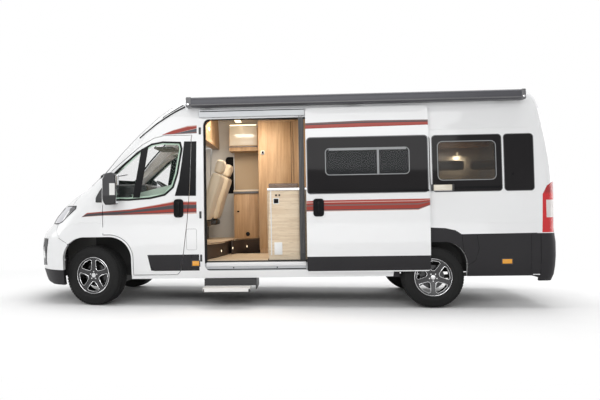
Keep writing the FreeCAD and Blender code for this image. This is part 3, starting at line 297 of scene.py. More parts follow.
bpy.ops.mesh.primitive_plane_add(size=FLOOR_SIZE)
floor = bpy.context.object
floor.name = "floor"
floor_paint = Finish("studio_floor", Roughness=0.9)
floor_paint.shader.inputs["Specular IOR Level"].default_value = 0.0
speckle = floor_paint.noise(floor_paint.place(), 3.0)
floor_paint.feed(Base_Color=floor_paint.mix(speckle, (0.93, 0.93, 0.93), (0.97, 0.97, 0.97)))
floor_x, floor_y = floor_paint.split(floor_paint.place())[:2]
distance = (floor_x * floor_x * 0.3 + floor_y * floor_y).math("SQRT")
far_white = floor_paint.ease(distance, WHITE_FROM, WHITE_AT)
floor_tree = floor_paint.tree
matt = floor_paint.shader.outputs[0]
bright = wired(floor_tree, "ShaderNodeEmission").outputs[0]
shadow_only = choose(floor_tree, far_white.socket, matt, bright)
seen = choose(floor_tree, rays_that_see(floor_tree), matt, shadow_only)
floor_tree.links.new(seen, floor_tree.nodes["Material Output"].inputs["Surface"])
floor.data.materials.append(floor_paint.material)
print("lens", round(camera.data.lens, 2), "mm")

# %% [markdown]
# The body is white two-layer paint over steel. The stripes are film on the paint: brick red and dark
# grey bands that swell along the cab and run on over the doors. They are masks in the body's axes: a
# stripe has a lower and an upper edge that change with x, and its bands are shares of its width.

# %% Paint and its stripes
WHITE = (0.80, 0.805, 0.81)
LINING = (0.62, 0.60, 0.56)
BRICK = (0.30, 0.034, 0.022)
RED_LINE = (0.36, 0.060, 0.045)
PALE_LINE = (0.58, 0.36, 0.32)
BAND_GREY = (0.055, 0.05, 0.055)
BAND_BROWN = (0.17, 0.10, 0.095)


def trend(finish, x, points):
    """A line through points (x, value), level before the first and after the last."""
    line = points[0][1]
    for (start, low), (end, high) in zip(points, points[1:]):
        line = finish.ease(x, start, end, 0.0, high - low) + line
    return line


def bands(finish, colour, across, inside, layers):
    """The bands of a stripe, each from a share of its width to the next."""
    for start, end, tone in layers:
        band = (across > start) & (across < end)
        colour = finish.mix(band & inside, colour, tone)
    return colour


def stripe(finish, colour, x, z, low_points, high_points, layers):
    """A stripe between two edges, for as long as the edges' points go."""
    low = trend(finish, x, low_points)
    high = trend(finish, x, high_points)
    across = (z - low) / (high - low)
    inside = (x > high_points[0][0]) & (x < high_points[-1][0])
    return bands(finish, colour, across, inside, layers)


CAB_WAIST_LOW = [(-0.155, 1.058), (0.126, 1.071), (0.96, 1.075), (1.247, 1.079)]
CAB_WAIST_HIGH = [(-0.155, 1.058), (-0.084, 1.109), (0.127, 1.123), (0.442, 1.144), (0.79, 1.198),
                  (0.963, 1.229), (1.247, 1.225)]
CAB_LAYERS = [(0.0, 0.1, PALE_LINE), (0.1, 0.70, BAND_GREY), (0.70, 0.74, BAND_BROWN), (0.74, 0.93, BRICK),
              (0.93, 1.0, PALE_LINE)]
CAB_WEDGE_LOW = [(0.30, 1.0885), (0.96, 1.101), (1.247, 1.105)]
CAB_WEDGE_HIGH = [(0.30, 1.0895), (0.96, 1.139), (1.247, 1.141)]
BAND_SLATE = (0.06, 0.075, 0.09)
CAB_UPPER_LOW = [(0.83, 2.033), (0.969, 2.038), (1.255, 2.045)]
CAB_UPPER_HIGH = [(0.83, 2.034), (0.97, 2.09), (1.144, 2.137), (1.256, 2.143)]
CAB_UPPER_LAYERS = [(0.0, 0.14, BAND_BROWN), (0.14, 0.88, BRICK), (0.88, 1.0, PALE_LINE)]
CAB_SLATE_LOW = [(0.99, 2.046), (1.256, 2.062)]
CAB_SLATE_HIGH = [(0.99, 2.047), (1.256, 2.108)]
DOOR_LAYERS = [(0.0, 0.07, PALE_LINE), (0.07, 0.15, BAND_GREY), (0.15, 0.48, BRICK), (0.48, 0.60, BAND_BROWN),
               (0.60, 0.78, BRICK), (0.78, 0.85, PALE_LINE), (0.85, 1.0, RED_LINE)]
DOOR_UPPER_LAYERS = [(0.0, 0.2, BRICK), (0.2, 0.60, RED_LINE), (0.60, 0.76, BAND_GREY), (0.76, 1.0, BAND_BROWN)]


def door_stripes(finish, colour, x, z, front, rear):
    """The stripes of the sliding door, or of the wall that it leaves on the other side."""
    low = [(front, 1.081), (rear - 0.14, 1.081), (rear, 1.135)]
    high = [(front, 1.205), (front + 0.2, 1.212), (rear, 1.213)]
    colour = stripe(finish, colour, x, z, low, high, DOOR_LAYERS)
    upper_low = [(front, 2.061), (rear, 2.078)]
    upper_high = [(front, 2.129), (front + 0.7, 2.146), (rear, 2.139)]
    return stripe(finish, colour, x, z, upper_low, upper_high, DOOR_UPPER_LAYERS)


def paint(name, *decorate):
    """White body paint, with the stripes that are asked for."""
    finish = Finish(name, Coat_Roughness=0.05, Specular_IOR_Level=0.25)
    x, y, z = finish.body_axes()
    flake = finish.noise(finish.place(), 0.8, 2.0)
    colour = finish.mix(flake, WHITE, tuple(0.975 * part for part in WHITE))
    bare = colour
    for step in decorate:
        colour = step(finish, colour, x, z)
    film = finish.make("ShaderNodeVectorMath", {"operation": "DISTANCE"}, {0: bare, 1: colour}, "Value")
    facing = finish.split(finish.make("ShaderNodeTexCoord", output="Normal"))[1]
    inner = (facing * y < -0.2) & (abs(facing) > 0.5)
    colour = finish.mix(inner, colour, LINING)
    orange_peel = finish.noise(finish.place(), 160.0, 1.0)
    finish.bump(orange_peel, 0.00003)
    return finish.feed(Base_Color=colour, Roughness=finish.ease(flake, 0.3, 0.7, 0.30, 0.36),
                       Coat_Weight=finish.ease(film, 0.1, 0.2, 0.7, 0.05))


def cab_stripes(finish, colour, x, z):
    """The stripes of the cab, two at its waist and two above its door."""
    for low, high, layers in ((CAB_WAIST_LOW, CAB_WAIST_HIGH, CAB_LAYERS),
                              (CAB_WEDGE_LOW, CAB_WEDGE_HIGH, [(0.0, 1.0, BRICK)]),
                              (CAB_UPPER_LOW, CAB_UPPER_HIGH, CAB_UPPER_LAYERS),
                              (CAB_SLATE_LOW, CAB_SLATE_HIGH, [(0.0, 0.86, BAND_SLATE), (0.86, 1.0, PALE_LINE)])):
        colour = stripe(finish, colour, x, z, low, high, layers)
    return colour


SLIDER_OPEN = (2.558, 3.995)
SLIDER_SHUT = (1.316, 2.753)
white_paint = paint("white_paint")
cab_paint = paint("cab_paint", cab_stripes)
slider_paint = paint("slider_paint", lambda f, c, x, z: door_stripes(f, c, x, z, *SLIDER_OPEN))
wall_paint = paint("wall_paint", cab_stripes, lambda f, c, x, z: door_stripes(f, c, x, z, *SLIDER_SHUT))
print("paints", [m.name for m in (white_paint, cab_paint, slider_paint, wall_paint)])

# %% [markdown]
# The other finishes: grained plastic, anodised metal, chassis black, rubber, glass, oak board, leather
# and cloth. Each has a colour that wanders a little, a roughness that follows it, and a relief at the
# real scale of its grain.

# %% Plastics and metals
def grained(name, dark, light, scale, depth, rough, metallic=0.0, coat=0.0, gloss=0.5):
    """A plain material with a fine grain."""
    finish = Finish(name, Coat_Weight=coat, Coat_Roughness=0.08, Metallic=metallic, Specular_IOR_Level=gloss)
    grain = finish.noise(finish.place(), scale, 4.0, 0.6)
    cloud = finish.noise(finish.place(), 2.5, 2.0)
    finish.bump(grain, depth)
    return finish.feed(Base_Color=finish.mix(cloud, dark, light),
                       Roughness=finish.ease(grain, 0.3, 0.7, rough - 0.06, rough + 0.06))


cladding_plastic = grained("cladding_plastic", (0.016, 0.015, 0.017), (0.022, 0.021, 0.023), 900, 0.00006, 0.52,
                           gloss=0.22)
dark_trim = grained("dark_trim", (0.014, 0.014, 0.015), (0.022, 0.022, 0.024), 1200, 0.00005, 0.45)
gloss_black = grained("gloss_black", (0.005, 0.005, 0.006), (0.008, 0.008, 0.009), 300, 0.000005, 0.22,
                      gloss=0.10)
anodised = grained("anodised", (0.30, 0.31, 0.32), (0.40, 0.41, 0.42), 700, 0.00002, 0.42, metallic=0.7)
awning_coat = grained("awning_coat", (0.048, 0.048, 0.056), (0.062, 0.062, 0.070), 1500, 0.00003, 0.38,
                      metallic=0.3)
chassis_black = grained("chassis_black", (0.010, 0.010, 0.010), (0.022, 0.021, 0.020), 60, 0.0004, 0.6)
underseal = grained("underseal", (0.020, 0.020, 0.020), (0.034, 0.033, 0.032), 90, 0.0006, 0.8)
cast_metal = grained("cast_metal", (0.10, 0.10, 0.10), (0.19, 0.185, 0.18), 220, 0.0003, 0.55, metallic=0.8)
dark_alloy = grained("dark_alloy", (0.020, 0.020, 0.022), (0.030, 0.030, 0.032), 500, 0.00002, 0.28,
                     metallic=0.6, coat=0.6)
acrylic = grained("acrylic", (0.66, 0.66, 0.63), (0.72, 0.72, 0.69), 400, 0.00002, 0.25, coat=0.4)
rubber = grained("rubber", (0.009, 0.009, 0.009), (0.015, 0.015, 0.015), 400, 0.0001, 0.72, gloss=0.2)
step_white = grained("step_white", (0.72, 0.71, 0.69), (0.80, 0.79, 0.77), 600, 0.00004, 0.42)
shell = Finish("mirror_shell", Specular_IOR_Level=0.35)
mirror_x, mirror_y, mirror_z = shell.body_axes()
shell_grain = shell.noise(shell.place(), 1200.0, 4.0)
shell_tone = shell.mix(shell.ease(mirror_z, 1.30, 1.315), (0.014, 0.014, 0.015), (0.040, 0.040, 0.043))
lamp_field = ((mirror_x > 0.258) & (mirror_x < 0.322) & (mirror_z > 1.314) & (mirror_z < 1.452)
              & (abs(mirror_y) > 1.235))
mirror_shell = shell.feed(Base_Color=shell.mix(lamp_field, shell_tone, (0.72, 0.72, 0.70)),
                          Roughness=shell.ease(shell_grain, 0.3, 0.7, 0.36, 0.46))
print("grained finishes ready")

# %% [markdown]
# Glass is a thin dark sheet that lets some of the inside show, and clearer where a window has its
# opening pane. The headlamp's bowls and edges are painted in its finish, and each bowl carries a painted
# reflection, pale in its middle and dark towards its rim. Wood has its grain along the board, leather
# has small cells, and cloth is a fine weave. The upright oak and the stage's riser are painted darker
# as painted shade, and so are the gaps between the cloth's threads.

# %% Glass, wood, leather and cloth
def window_glass(name, tint, see_through, rough=0.03, gloss=0.4):
    """Glass as a thin dark sheet: its alpha says how much shows through."""
    finish = Finish(name, Specular_IOR_Level=gloss)
    ripple = finish.noise(finish.place(), 1.5, 1.0)
    finish.bump(ripple, 0.0004)
    return finish.feed(Base_Color=finish.mix(ripple, tint, tuple(1.2 * part for part in tint)),
                       Alpha=finish.ease(ripple, 0, 1, 1 - see_through - 0.02, 1 - see_through + 0.02),
                       Roughness=finish.ease(ripple, 0, 1, rough, rough + 0.02))


cab_glass = window_glass("cab_glass", (0.04, 0.075, 0.06), 0.94)
green_edge = window_glass("green_edge", (0.46, 0.62, 0.50), 0.25, rough=0.2)
pane_glass = Finish("privacy_glass", Specular_IOR_Level=0.13)
pane_x, pane_y, pane_z = pane_glass.body_axes()
pane_cloud = pane_glass.noise(pane_glass.place(), 1.5, 1.0)
slid_pane = (pane_x > 2.80) & (pane_x < 3.76) & (pane_z > 1.515) & (pane_z < 1.812) & (pane_y < 0)
rear_panes = (pane_x > 4.112) & (pane_x < 4.768) & (pane_z > 1.432) & (pane_z < 1.873)
wall_pane = (pane_x > 1.55) & (pane_x < 2.55) & (pane_z > 1.42) & (pane_z < 1.86) & (pane_y > 0)
clear_part = slid_pane | rear_panes | wall_pane
pane_tone = pane_glass.mix(pane_cloud, (0.010, 0.009, 0.010), (0.014, 0.013, 0.014))
privacy_glass = pane_glass.feed(Base_Color=pane_glass.mix(clear_part, pane_tone, (0.030, 0.032, 0.034)),
                                Alpha=1.0 - clear_part * 0.42,
                                Roughness=pane_glass.ease(pane_cloud, 0, 1, 0.04, 0.07))
lamp_glass = Finish("headlamp", Coat_Weight=0.7, Coat_Roughness=0.03)
lamp_x, lamp_y, lamp_z = lamp_glass.body_axes()
lamp_down = (lamp_x + 0.245) * -0.728 + (lamp_z - 1.181) * -0.685
lamp_in = (lamp_x + 0.245) * -0.685 + (lamp_z - 1.181) * 0.728
dark_edge = trend(lamp_glass, lamp_down,
                  [(0.0, 0.030), (0.085, 0.052), (0.105, 0.024), (0.21, -0.004), (0.27, -0.002)])
bright_edge = trend(lamp_glass, lamp_down, [(0.09, 0.0), (0.12, 0.026), (0.22, 0.020), (0.26, 0.0)])
lamp_cloud = lamp_glass.noise(lamp_glass.place(), 30.0, 2.0)
lamp_tone = lamp_glass.mix(lamp_cloud, (0.46, 0.46, 0.50), (0.56, 0.56, 0.60))
# Each bowl is painted with a reflection: pale in its middle, with a painted highlight at its centre, and darker
# towards its rim.
for bowl_y, bowl_z, bowl_size in ((0.66, 1.035, 0.060), (0.55, 0.985, 0.048)):
    around = ((abs(lamp_y) - bowl_y) * (abs(lamp_y) - bowl_y)
              + (lamp_z - bowl_z) * (lamp_z - bowl_z)).math("SQRT") * (1.0 / bowl_size)
    lamp_tone = lamp_glass.mix(around < 1.15, lamp_tone, (0.10, 0.10, 0.11))
    painted_bowl_reflection = lamp_glass.mix(around, (0.75, 0.76, 0.80), (0.28, 0.28, 0.30))
    lamp_tone = lamp_glass.mix(around < 1.0, lamp_tone, painted_bowl_reflection)
    lamp_tone = lamp_glass.mix(around < 0.3, lamp_tone, (0.85, 0.86, 0.88))
lamp_tone = lamp_glass.mix(lamp_in < dark_edge + bright_edge, lamp_tone, (0.80, 0.80, 0.80))
lamp_tone = lamp_glass.mix(lamp_in < dark_edge, lamp_tone, (0.030, 0.030, 0.036))
lamp_cover = lamp_glass.feed(Base_Color=lamp_tone, Roughness=lamp_glass.ease(lamp_cloud, 0.3, 0.7, 0.10, 0.18))
lens = Finish("red_lens", Coat_Weight=0.1, Coat_Roughness=0.03)
lens_x, _, lens_z = lens.body_axes()
ridges = (lens_z * 900.0).math("SINE")
lens.bump(ridges, 0.0004)
red_field = lens.mix(lens.ease(lens_z, 1.24, 1.27), (0.56, 0.003, 0.007), (0.38, 0.002, 0.005))
white_field = (lens_z > 0.972) & (lens_z < 1.176) & (lens_x > 5.335)
red_lens = lens.feed(Base_Color=lens.mix(white_field, red_field, (0.70, 0.66, 0.64)),
                     Roughness=lens.ease(ridges, -1, 1, 0.10, 0.16))


def oak(name, grain_axis, pale, warm):
    """Light oak foil: long bands along the grain, with pores."""
    finish = Finish(name, Specular_IOR_Level=0.35)
    spread = [16.0, 16.0, 16.0]
    spread[grain_axis] = 0.9
    along = finish.stretch(finish.place(), tuple(spread))
    figure = finish.noise(along, 1.6, 5.0, 0.6)
    pores = finish.noise(finish.stretch(along, (9.0, 9.0, 9.0)), 1.0, 3.0, 0.7)
    colour = finish.mix(finish.ease(figure, 0.38, 0.62), pale, warm)
    colour = finish.mix(finish.ease(pores, 0.56, 0.66) * 0.35, colour, (0.25, 0.14, 0.06))
    finish.bump(pores, 0.00012)
    return finish.feed(Base_Color=colour, Roughness=finish.ease(figure, 0.3, 0.7, 0.42, 0.52))


# The upright oak is the same light oak painted darker: painted shade on the wardrobe, sideboard and lockers.
oak_upright = oak("oak_upright", 2, (0.52, 0.34, 0.19), (0.40, 0.245, 0.125))
oak_level = oak("oak_level", 0, (0.80, 0.67, 0.50), (0.68, 0.53, 0.37))
stage = Finish("stage_oak", Specular_IOR_Level=0.35)
stage_z = stage.body_axes()[2]
stage_grain = stage.noise(stage.stretch(stage.place(), (1.0, 14.0, 14.0)), 3.0, 4.0)
stage_board = stage.mix(stage_grain, (0.78, 0.62, 0.44), (0.64, 0.47, 0.30))
# Below its top the stage's front is the same oak painted nearly black: painted shade on its upright faces.
stage_riser_shade = stage.mix(stage_grain, (0.040, 0.028, 0.022), (0.065, 0.045, 0.036))
stage_oak = stage.feed(Base_Color=stage.mix(stage_z < 0.694, stage_board, stage_riser_shade),
                       Roughness=stage.ease(stage_grain, 0.3, 0.7, 0.40, 0.50))


def leather(name, dark, light):
    """Cream leatherette: fine cells, with a soft sheen."""
    finish = Finish(name, Sheen_Weight=0.2, Sheen_Roughness=0.5)
    cells = finish.make("ShaderNodeTexVoronoi", {"feature": "DISTANCE_TO_EDGE"},
                        {"Vector": finish.place(), "Scale": 420.0})
    cloud = finish.noise(finish.place(), 6.0)
    finish.bump(cells, 0.0003)
    return finish.feed(Base_Color=finish.mix(cloud, dark, light),
                       Roughness=finish.ease(cells, 0.0, 0.4, 0.62, 0.5))


def woven(name, dark, light, threads):
    """Cloth: two sets of threads that cross."""
    finish = Finish(name, Sheen_Weight=0.4, Sheen_Roughness=0.4)
    x, y, z = finish.split(finish.stretch(finish.place(), (threads,) * 3))
    weave = abs(x.math("SINE")) * 0.5 + abs((y + z).math("SINE")) * 0.5
    cloud = finish.noise(finish.place(), 5.0)
    finish.bump(weave, 0.0004)
    tone = finish.mix(cloud, dark, light)
    # The gaps between the threads are painted darker: painted shade over the weave's relief.
    return finish.feed(Base_Color=finish.mix(finish.ease(weave, 0.1, 0.9, 0.25, 0.0), tone, (0.1, 0.08, 0.06)),
                       Roughness=finish.ease(weave, 0, 1, 0.95, 0.8))


cream_leather = leather("cream_leather", (0.58, 0.47, 0.33), (0.66, 0.55, 0.40))
beige_cloth = woven("beige_cloth", (0.50, 0.38, 0.25), (0.57, 0.45, 0.31), 2600.0)
print("glass, wood and soft finishes ready")

# %% [markdown]
# Each node of the frame gets its finish. The panels' meshes come with a hard edge at every patch, so a
# small modifier merges their points and shades them smooth wherever they meet at a shallow angle.

# %% Finishes for the frame's nodes
MERGE_DISTANCE = 0.0001
SHARP_ANGLE = math.radians(28)


def smooth_panels():
    """A modifier's node group: merged points, and smooth shading up to a sharp angle."""
    group = bpy.data.node_groups.new("smooth_panels", "GeometryNodeTree")
    for way in ("INPUT", "OUTPUT"):
        group.interface.new_socket("Geometry", in_out=way, socket_type="NodeSocketGeometry")
    start = wired(group, "NodeGroupInput")
    merge = wired(group, "GeometryNodeMergeByDistance", {"Geometry": start.outputs[0]})
    merge.inputs["Distance"].default_value = MERGE_DISTANCE
    plain = wired(group, "GeometryNodeRemoveAttribute", {"Geometry": merge.outputs[0]})
    plain.inputs["Name"].default_value = "custom_normal"
    faces = wired(group, "GeometryNodeSetShadeSmooth", {"Geometry": plain.outputs[0]})
    angle = wired(group, "GeometryNodeInputMeshEdgeAngle")
    shallow = wired(group, "FunctionNodeCompare", {0: angle.outputs["Unsigned Angle"]}, operation="LESS_THAN")
    shallow.inputs[1].default_value = SHARP_ANGLE
    edges = wired(group, "GeometryNodeSetShadeSmooth",
                  {"Geometry": faces.outputs[0], "Shade Smooth": shallow.outputs[0]}, domain="EDGE")
    wired(group, "NodeGroupOutput", {0: edges.outputs[0]})
    return group


panel_shading = smooth_panels()
node_finishes = {
    white_paint: ["bonnet", "front_bumper", "roof_panel", "rear_door_left", "rear_door_right"],
    cladding_plastic: ["front_grille", "side_cladding", "door_cladding_left", "door_cladding_right",
                       "rear_bumper"],
    cab_paint: ["wings", "cab_door_left", "cab_door_right", "body_side_left"],
    slider_paint: ["sliding_door"],
    wall_paint: ["body_side_right"],
    cab_glass: ["cab_glass_left", "cab_glass_right", "windscreen"],
    privacy_glass: ["habitation_windows", "sliding_door_window", "rear_glass_left", "rear_glass_right"],
    lamp_cover: ["headlamps"],
    red_lens: ["tail_lamps"],
    dark_trim: ["scuttle", "dashboard", "steering_wheel", "seat_bases", "step_housing", "flyscreen_cassette"],
    mirror_shell: ["mirror_left", "mirror_right"],
    awning_coat: ["awning_box"],
    anodised: ["door_tracks"],
    step_white: ["step_tread"],
    underseal: ["floor_pan"],
    chassis_black: ["front_subframe", "rear_axle", "tanks_and_exhaust"],
    cast_metal: ["engine_block", "knuckle_left", "knuckle_right"],
    dark_alloy: [name for name in nodes if name.startswith("rim_")],
    rubber: [name for name in nodes if name.startswith("tyre_")],
    acrylic: ["rooflights"],
    oak_upright: ["wardrobe", "sideboard", "overhead_lockers"],
    oak_level: ["kitchen_unit", "bed_platform"],
    stage_oak: ["raised_floor"],
    cream_leather: ["cab_seats"],
    beige_cloth: ["mattress"],
}
for material, names in node_finishes.items():
    for name in names:
        nodes[name].data.materials.clear()
        nodes[name].data.materials.append(material)
        shading = nodes[name].modifiers.new("smooth_panels", "NODES")
        shading.node_group = panel_shading
finished = {name for names in node_finishes.values() for name in names}
print("nodes with a finish", len(finished), "left", sorted(set(nodes) - finished))

# %% [markdown]
# The small pieces are modelled as by hand. Each starts as a primitive at its place, or as one corner
# that is extruded along an outline, and goes on with inset, extrude, bevel and spin. These helpers hold
# the moves that come back in every piece.

# %% Hands
LEVEL_ON_BODY = (0, -RAKE, 0)
ACROSS = (math.pi / 2, 0, 0)
LENGTHWAYS = (0, math.pi / 2, 0)
FULL_TURN = 2 * math.pi
WHEEL_AXIS = {"center": (0, 0, 0), "axis": (0, 1, 0)}


def let_go():
    """Object mode, and nothing selected."""
    if bpy.context.mode != "OBJECT":
        bpy.ops.object.mode_set(mode="OBJECT")
    bpy.ops.object.select_all(action="DESELECT")


def take(*pieces):
    """Only these pieces selected, the first of them active."""
    let_go()
    for piece in pieces:
        piece.select_set(True)
    bpy.context.view_layer.objects.active = pieces[0]


def modify(piece, kind, **settings):
    """A modifier with its settings, applied."""
    take(piece)
    modifier = piece.modifiers.new(kind.lower(), kind)
    for key, value in settings.items():
        setattr(modifier, key, value)
    bpy.ops.object.modifier_apply(modifier=modifier.name)
    return piece


def named(name):
    """The object that was just made, with its name."""
    bpy.context.object.name = name
    return bpy.context.object


def brick(name, place, size, turn=(0, 0, 0)):
    """A box of that size round a place."""
    let_go()
    bpy.ops.mesh.primitive_cube_add(size=1, location=place, rotation=turn, scale=size)
    return named(name)


def middle_and_size(low, high):
    """The middle and the size of a box between two corners."""
    pairs = list(zip(low, high))
    return [(start + end) / 2 for start, end in pairs], [end - start for start, end in pairs]


def block(name, low, high):
    """A box between two corners in the body's axes, turned with the body."""
    middle, size = middle_and_size(low, high)
    return brick(name, on_body(*middle), size, LEVEL_ON_BODY)


def bevel(piece, width, segments=2):
    """The piece with its edges eased."""
    return modify(piece, "BEVEL", width=width, segments=segments)


def board(name, low, high, width, segments=2):
    """A box between two corners, with eased edges."""
    return bevel(block(name, low, high), width, segments)


def disc(name, radius, depth, place, corners=24, turn=ACROSS):
    """A short cylinder round a place, its axis across the van unless it is turned."""
    let_go()
    bpy.ops.mesh.primitive_cylinder_add(vertices=corners, radius=radius, depth=depth, location=place,
                                        rotation=turn)
    return named(name)


def open_mesh():
    """Into edit mode, with all selected."""
    bpy.ops.object.mode_set(mode="EDIT")
    bpy.ops.mesh.select_all(action="SELECT")


def weld(distance):
    """All points that lie closer than that become one, and what is left stays selected."""
    bpy.ops.mesh.select_all(action="SELECT")
    bpy.ops.mesh.remove_doubles(threshold=distance)


def walk(name, points):
    """A line of edges: one corner, extruded from point to point."""
    let_go()
    bpy.ops.mesh.primitive_plane_add(size=0.01, location=points[0])
    piece = named(name)
    open_mesh()
    bpy.ops.mesh.select_mode(type="VERT")
    bpy.ops.mesh.merge(type="CENTER")
    for start, end in zip(points, points[1:]):
        bpy.ops.mesh.extrude_vertices_move(TRANSFORM_OT_translate={"value": end - start})
    bpy.ops.mesh.select_all(action="SELECT")
    return piece


def plate(name, points, thick, rim=0.0):
    """A flat piece with that outline. With a rim it is a frame of that width, open in the middle."""
    piece = walk(name, points)
    bpy.ops.mesh.edge_face_add()
    if rim:
        bpy.ops.mesh.inset(thickness=rim, use_even_offset=True)
        bpy.ops.mesh.delete(type="FACE")
    let_go()
    return modify(piece, "SOLIDIFY", thickness=thick, offset=0)


def rod(name, points, radius, closed=False, sides=1):
    """A round bar along a line."""
    take(walk(name, points))
    bpy.ops.object.convert(target="CURVE")
    piece = bpy.context.object
    piece.data.splines[0].use_cyclic_u = closed
    piece.data.bevel_depth = radius
    piece.data.bevel_resolution = sides
    piece.data.use_fill_caps = True
    bpy.ops.object.convert(target="MESH")
    return bpy.context.object


def joined(name, *pieces):
    """Several pieces as one mesh."""
    take(*pieces)
    bpy.ops.object.join()
    return named(name)


def settle(piece, material, body="root", round_angle=40):
    """The finished piece: its place in its mesh, its finish, and the body that carries it."""
    take(piece)
    bpy.ops.object.transform_apply(location=True, rotation=True, scale=True)
    bpy.ops.object.shade_smooth_by_angle(angle=math.radians(round_angle))
    piece.data.materials.clear()
    piece.data.materials.append(material)
    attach(piece, body)
    made.append(piece.name)
    return piece


def other_side(piece, name):
    """The same piece for the right side, turned the right way out."""
    take(piece)
    bpy.ops.object.transform_apply(location=True, rotation=True, scale=True)
    bpy.ops.object.duplicate(linked=False)
    twin = named(name)
    twin.scale = (1, -1, 1)
    bpy.ops.object.transform_apply(location=False, rotation=False, scale=True)
    open_mesh()
    bpy.ops.mesh.normals_make_consistent(inside=False)
    let_go()
    return twin


def both_sides(piece, material, slot, left_body="root", right_body="root", round_angle=40):
    """The piece on the left, and its twin on the right."""
    twin = other_side(piece, piece.name.replace("left", "right"))
    settle(twin, material, right_body, round_angle)
    return settle(piece, material, left_body, round_angle)


made = []
print("hands ready")

# %% [markdown]
# The van's flanks lean in and swell out, so a trim piece has to be laid on them. A ray from the side
# finds the skin at a place. A frame that follows a window exactly is made from a copy of the window's
# own outer face: the rim is inset, the middle deleted, and what is left gets its thickness.

# %% Laying pieces on the skin
def skin_of(*names):
    """The faces of these nodes, for rays to meet."""
    points, faces = [], []
    for name in names:
        mesh = nodes[name].data
        first = len(points)
        points += [vertex.co.copy() for vertex in mesh.vertices]
        faces += [[first + index for index in face.vertices] for face in mesh.polygons]
    return BVHTree.FromPolygons(points, faces)


flank = skin_of("body_side_left", "cab_door_left", "cab_glass_left", "wings", "habitation_windows",
                "front_bumper", "front_grille", "headlamps", "tail_lamps", "rear_bumper", "roof_panel",
                "side_cladding", "door_cladding_left")
open_slider = skin_of("sliding_door", "sliding_door_window")


def meet(skin, start, along, lift):
    """Where a ray meets the skin, raised from it by the lift, with a look aside where there is a gap."""
    across = Vector((along.z, along.x, along.y)) * 0.02
    upward = Vector((0, 0, 0.02)) if not along.z else Vector((0.02, 0, 0))
    for aside in (Vector(), upward, -upward, across, -across, 2 * upward, -2 * upward):
        place = skin.ray_cast(start + aside, along)[0]
        if place:
            return place - aside - along * lift
    raise ValueError(f"nothing met from {start}")


def touch(skin, x, z, lift):
    """The place on the skin, seen from the left, with that much air under the piece."""
    for aside in (0.0, 0.012, -0.012, 0.03, -0.03):
        place = skin.ray_cast(on_body(x + aside, -3.0, z), Vector((0, 1, 0)))[0]
        if place and place.y < -0.6:
            return Vector((on_body(x, 0, z).x, place.y - lift, on_body(x, 0, z).z))
    raise ValueError(f"no skin at {x:.3f}, {z:.3f}")


def laid(skin, outline, lift=0.001, stride=0.15, closed=True):
    """An outline of (x, z) points, laid on the skin with a point at every stride."""
    corners = outline + outline[:1] if closed else outline
    points = []
    for (x, z), (next_x, next_z) in zip(corners, corners[1:]):
        parts = max(1, round(math.hypot(next_x - x, next_z - z) / stride))
        points += [touch(skin, x + (next_x - x) * part / parts, z + (next_z - z) * part / parts, lift)
                   for part in range(parts)]
    return points if closed else points + [touch(skin, *outline[-1], lift)]


def rounded(x_low, x_high, z_low, z_high, radius, steps=4):
    """A rectangle with round corners, as (x, z) points."""
    corners = [(x_high - radius, z_high - radius, 0), (x_low + radius, z_high - radius, 90),
               (x_low + radius, z_low + radius, 180), (x_high - radius, z_low + radius, 270)]
    return [(x + radius * math.cos(math.radians(start + 90 * step / steps)),
             z + radius * math.sin(math.radians(start + 90 * step / steps)))
            for x, z, start in corners for step in range(steps + 1)]


def rim_of(node, name, width, thick, outward):
    """A frame on the outer face of a node, following its edge."""
    piece = bpy.data.objects.new(name, nodes[node].data.copy())
    scene.collection.objects.link(piece)
    take(piece)
    open_mesh()
    bpy.ops.mesh.remove_doubles(threshold=MERGE_DISTANCE)
    cage = bmesh.from_edit_mesh(piece.data)
    for face in cage.faces:
        face.select = not outward(face)
    bpy.ops.mesh.delete(type="FACE")
    bpy.ops.mesh.select_all(action="SELECT")
    bpy.ops.mesh.dissolve_limited(angle_limit=math.radians(0.6))
    bpy.ops.mesh.inset(thickness=width, use_boundary=True, use_even_offset=True)
    bpy.ops.mesh.delete(type="FACE")
    let_go()
    return modify(piece, "SOLIDIFY", thickness=thick, offset=1)


def sideways(face):
    """Whether a face looks out to its own side of the van."""
    return face.normal.y * face.calc_center_median().y > 0.5


print("skins ready")

# %% [markdown]
# The small pieces need some finishes more: bright metal, plain and lens plastics, lacquer, piping, cloth
# for the visors, and smoked acrylic for the cover on the worktop.

# %% Finishes of the small pieces
satin_metal = grained("satin_metal", (0.62, 0.62, 0.63), (0.70, 0.70, 0.71), 600, 0.00002, 0.38, metallic=0.25)
polished = grained("polished", (0.62, 0.62, 0.63), (0.72, 0.72, 0.73), 500, 0.00001, 0.16, metallic=1.0)
white_plastic = grained("white_plastic", (0.74, 0.74, 0.73), (0.80, 0.80, 0.79), 500, 0.00003, 0.3, coat=0.4)
amber_lens = grained("amber_lens", (0.70, 0.27, 0.012), (0.80, 0.36, 0.02), 120, 0.0001, 0.15, coat=0.4)
red_plastic = grained("red_plastic", (0.36, 0.01, 0.012), (0.46, 0.014, 0.016), 120, 0.0001, 0.15, coat=1.0)
smoked_acrylic = window_glass("smoked_acrylic", (0.20, 0.14, 0.11), 0.35)
cream_lacquer = grained("cream_lacquer", (0.66, 0.60, 0.49), (0.71, 0.65, 0.54), 40, 0.00001, 0.14, coat=1.0)
mirror_glass = grained("mirror_glass", (0.70, 0.72, 0.74), (0.76, 0.78, 0.80), 30, 0.000002, 0.03, metallic=1.0)
edge_grey = grained("edge_grey", (0.10, 0.10, 0.105), (0.14, 0.14, 0.145), 600, 0.00003, 0.4)
cream_piping = leather("cream_piping", (0.50, 0.40, 0.28), (0.56, 0.46, 0.33))
visor_cloth = grained("visor_cloth", (0.13, 0.14, 0.115), (0.19, 0.20, 0.165), 300, 0.0003, 0.8)
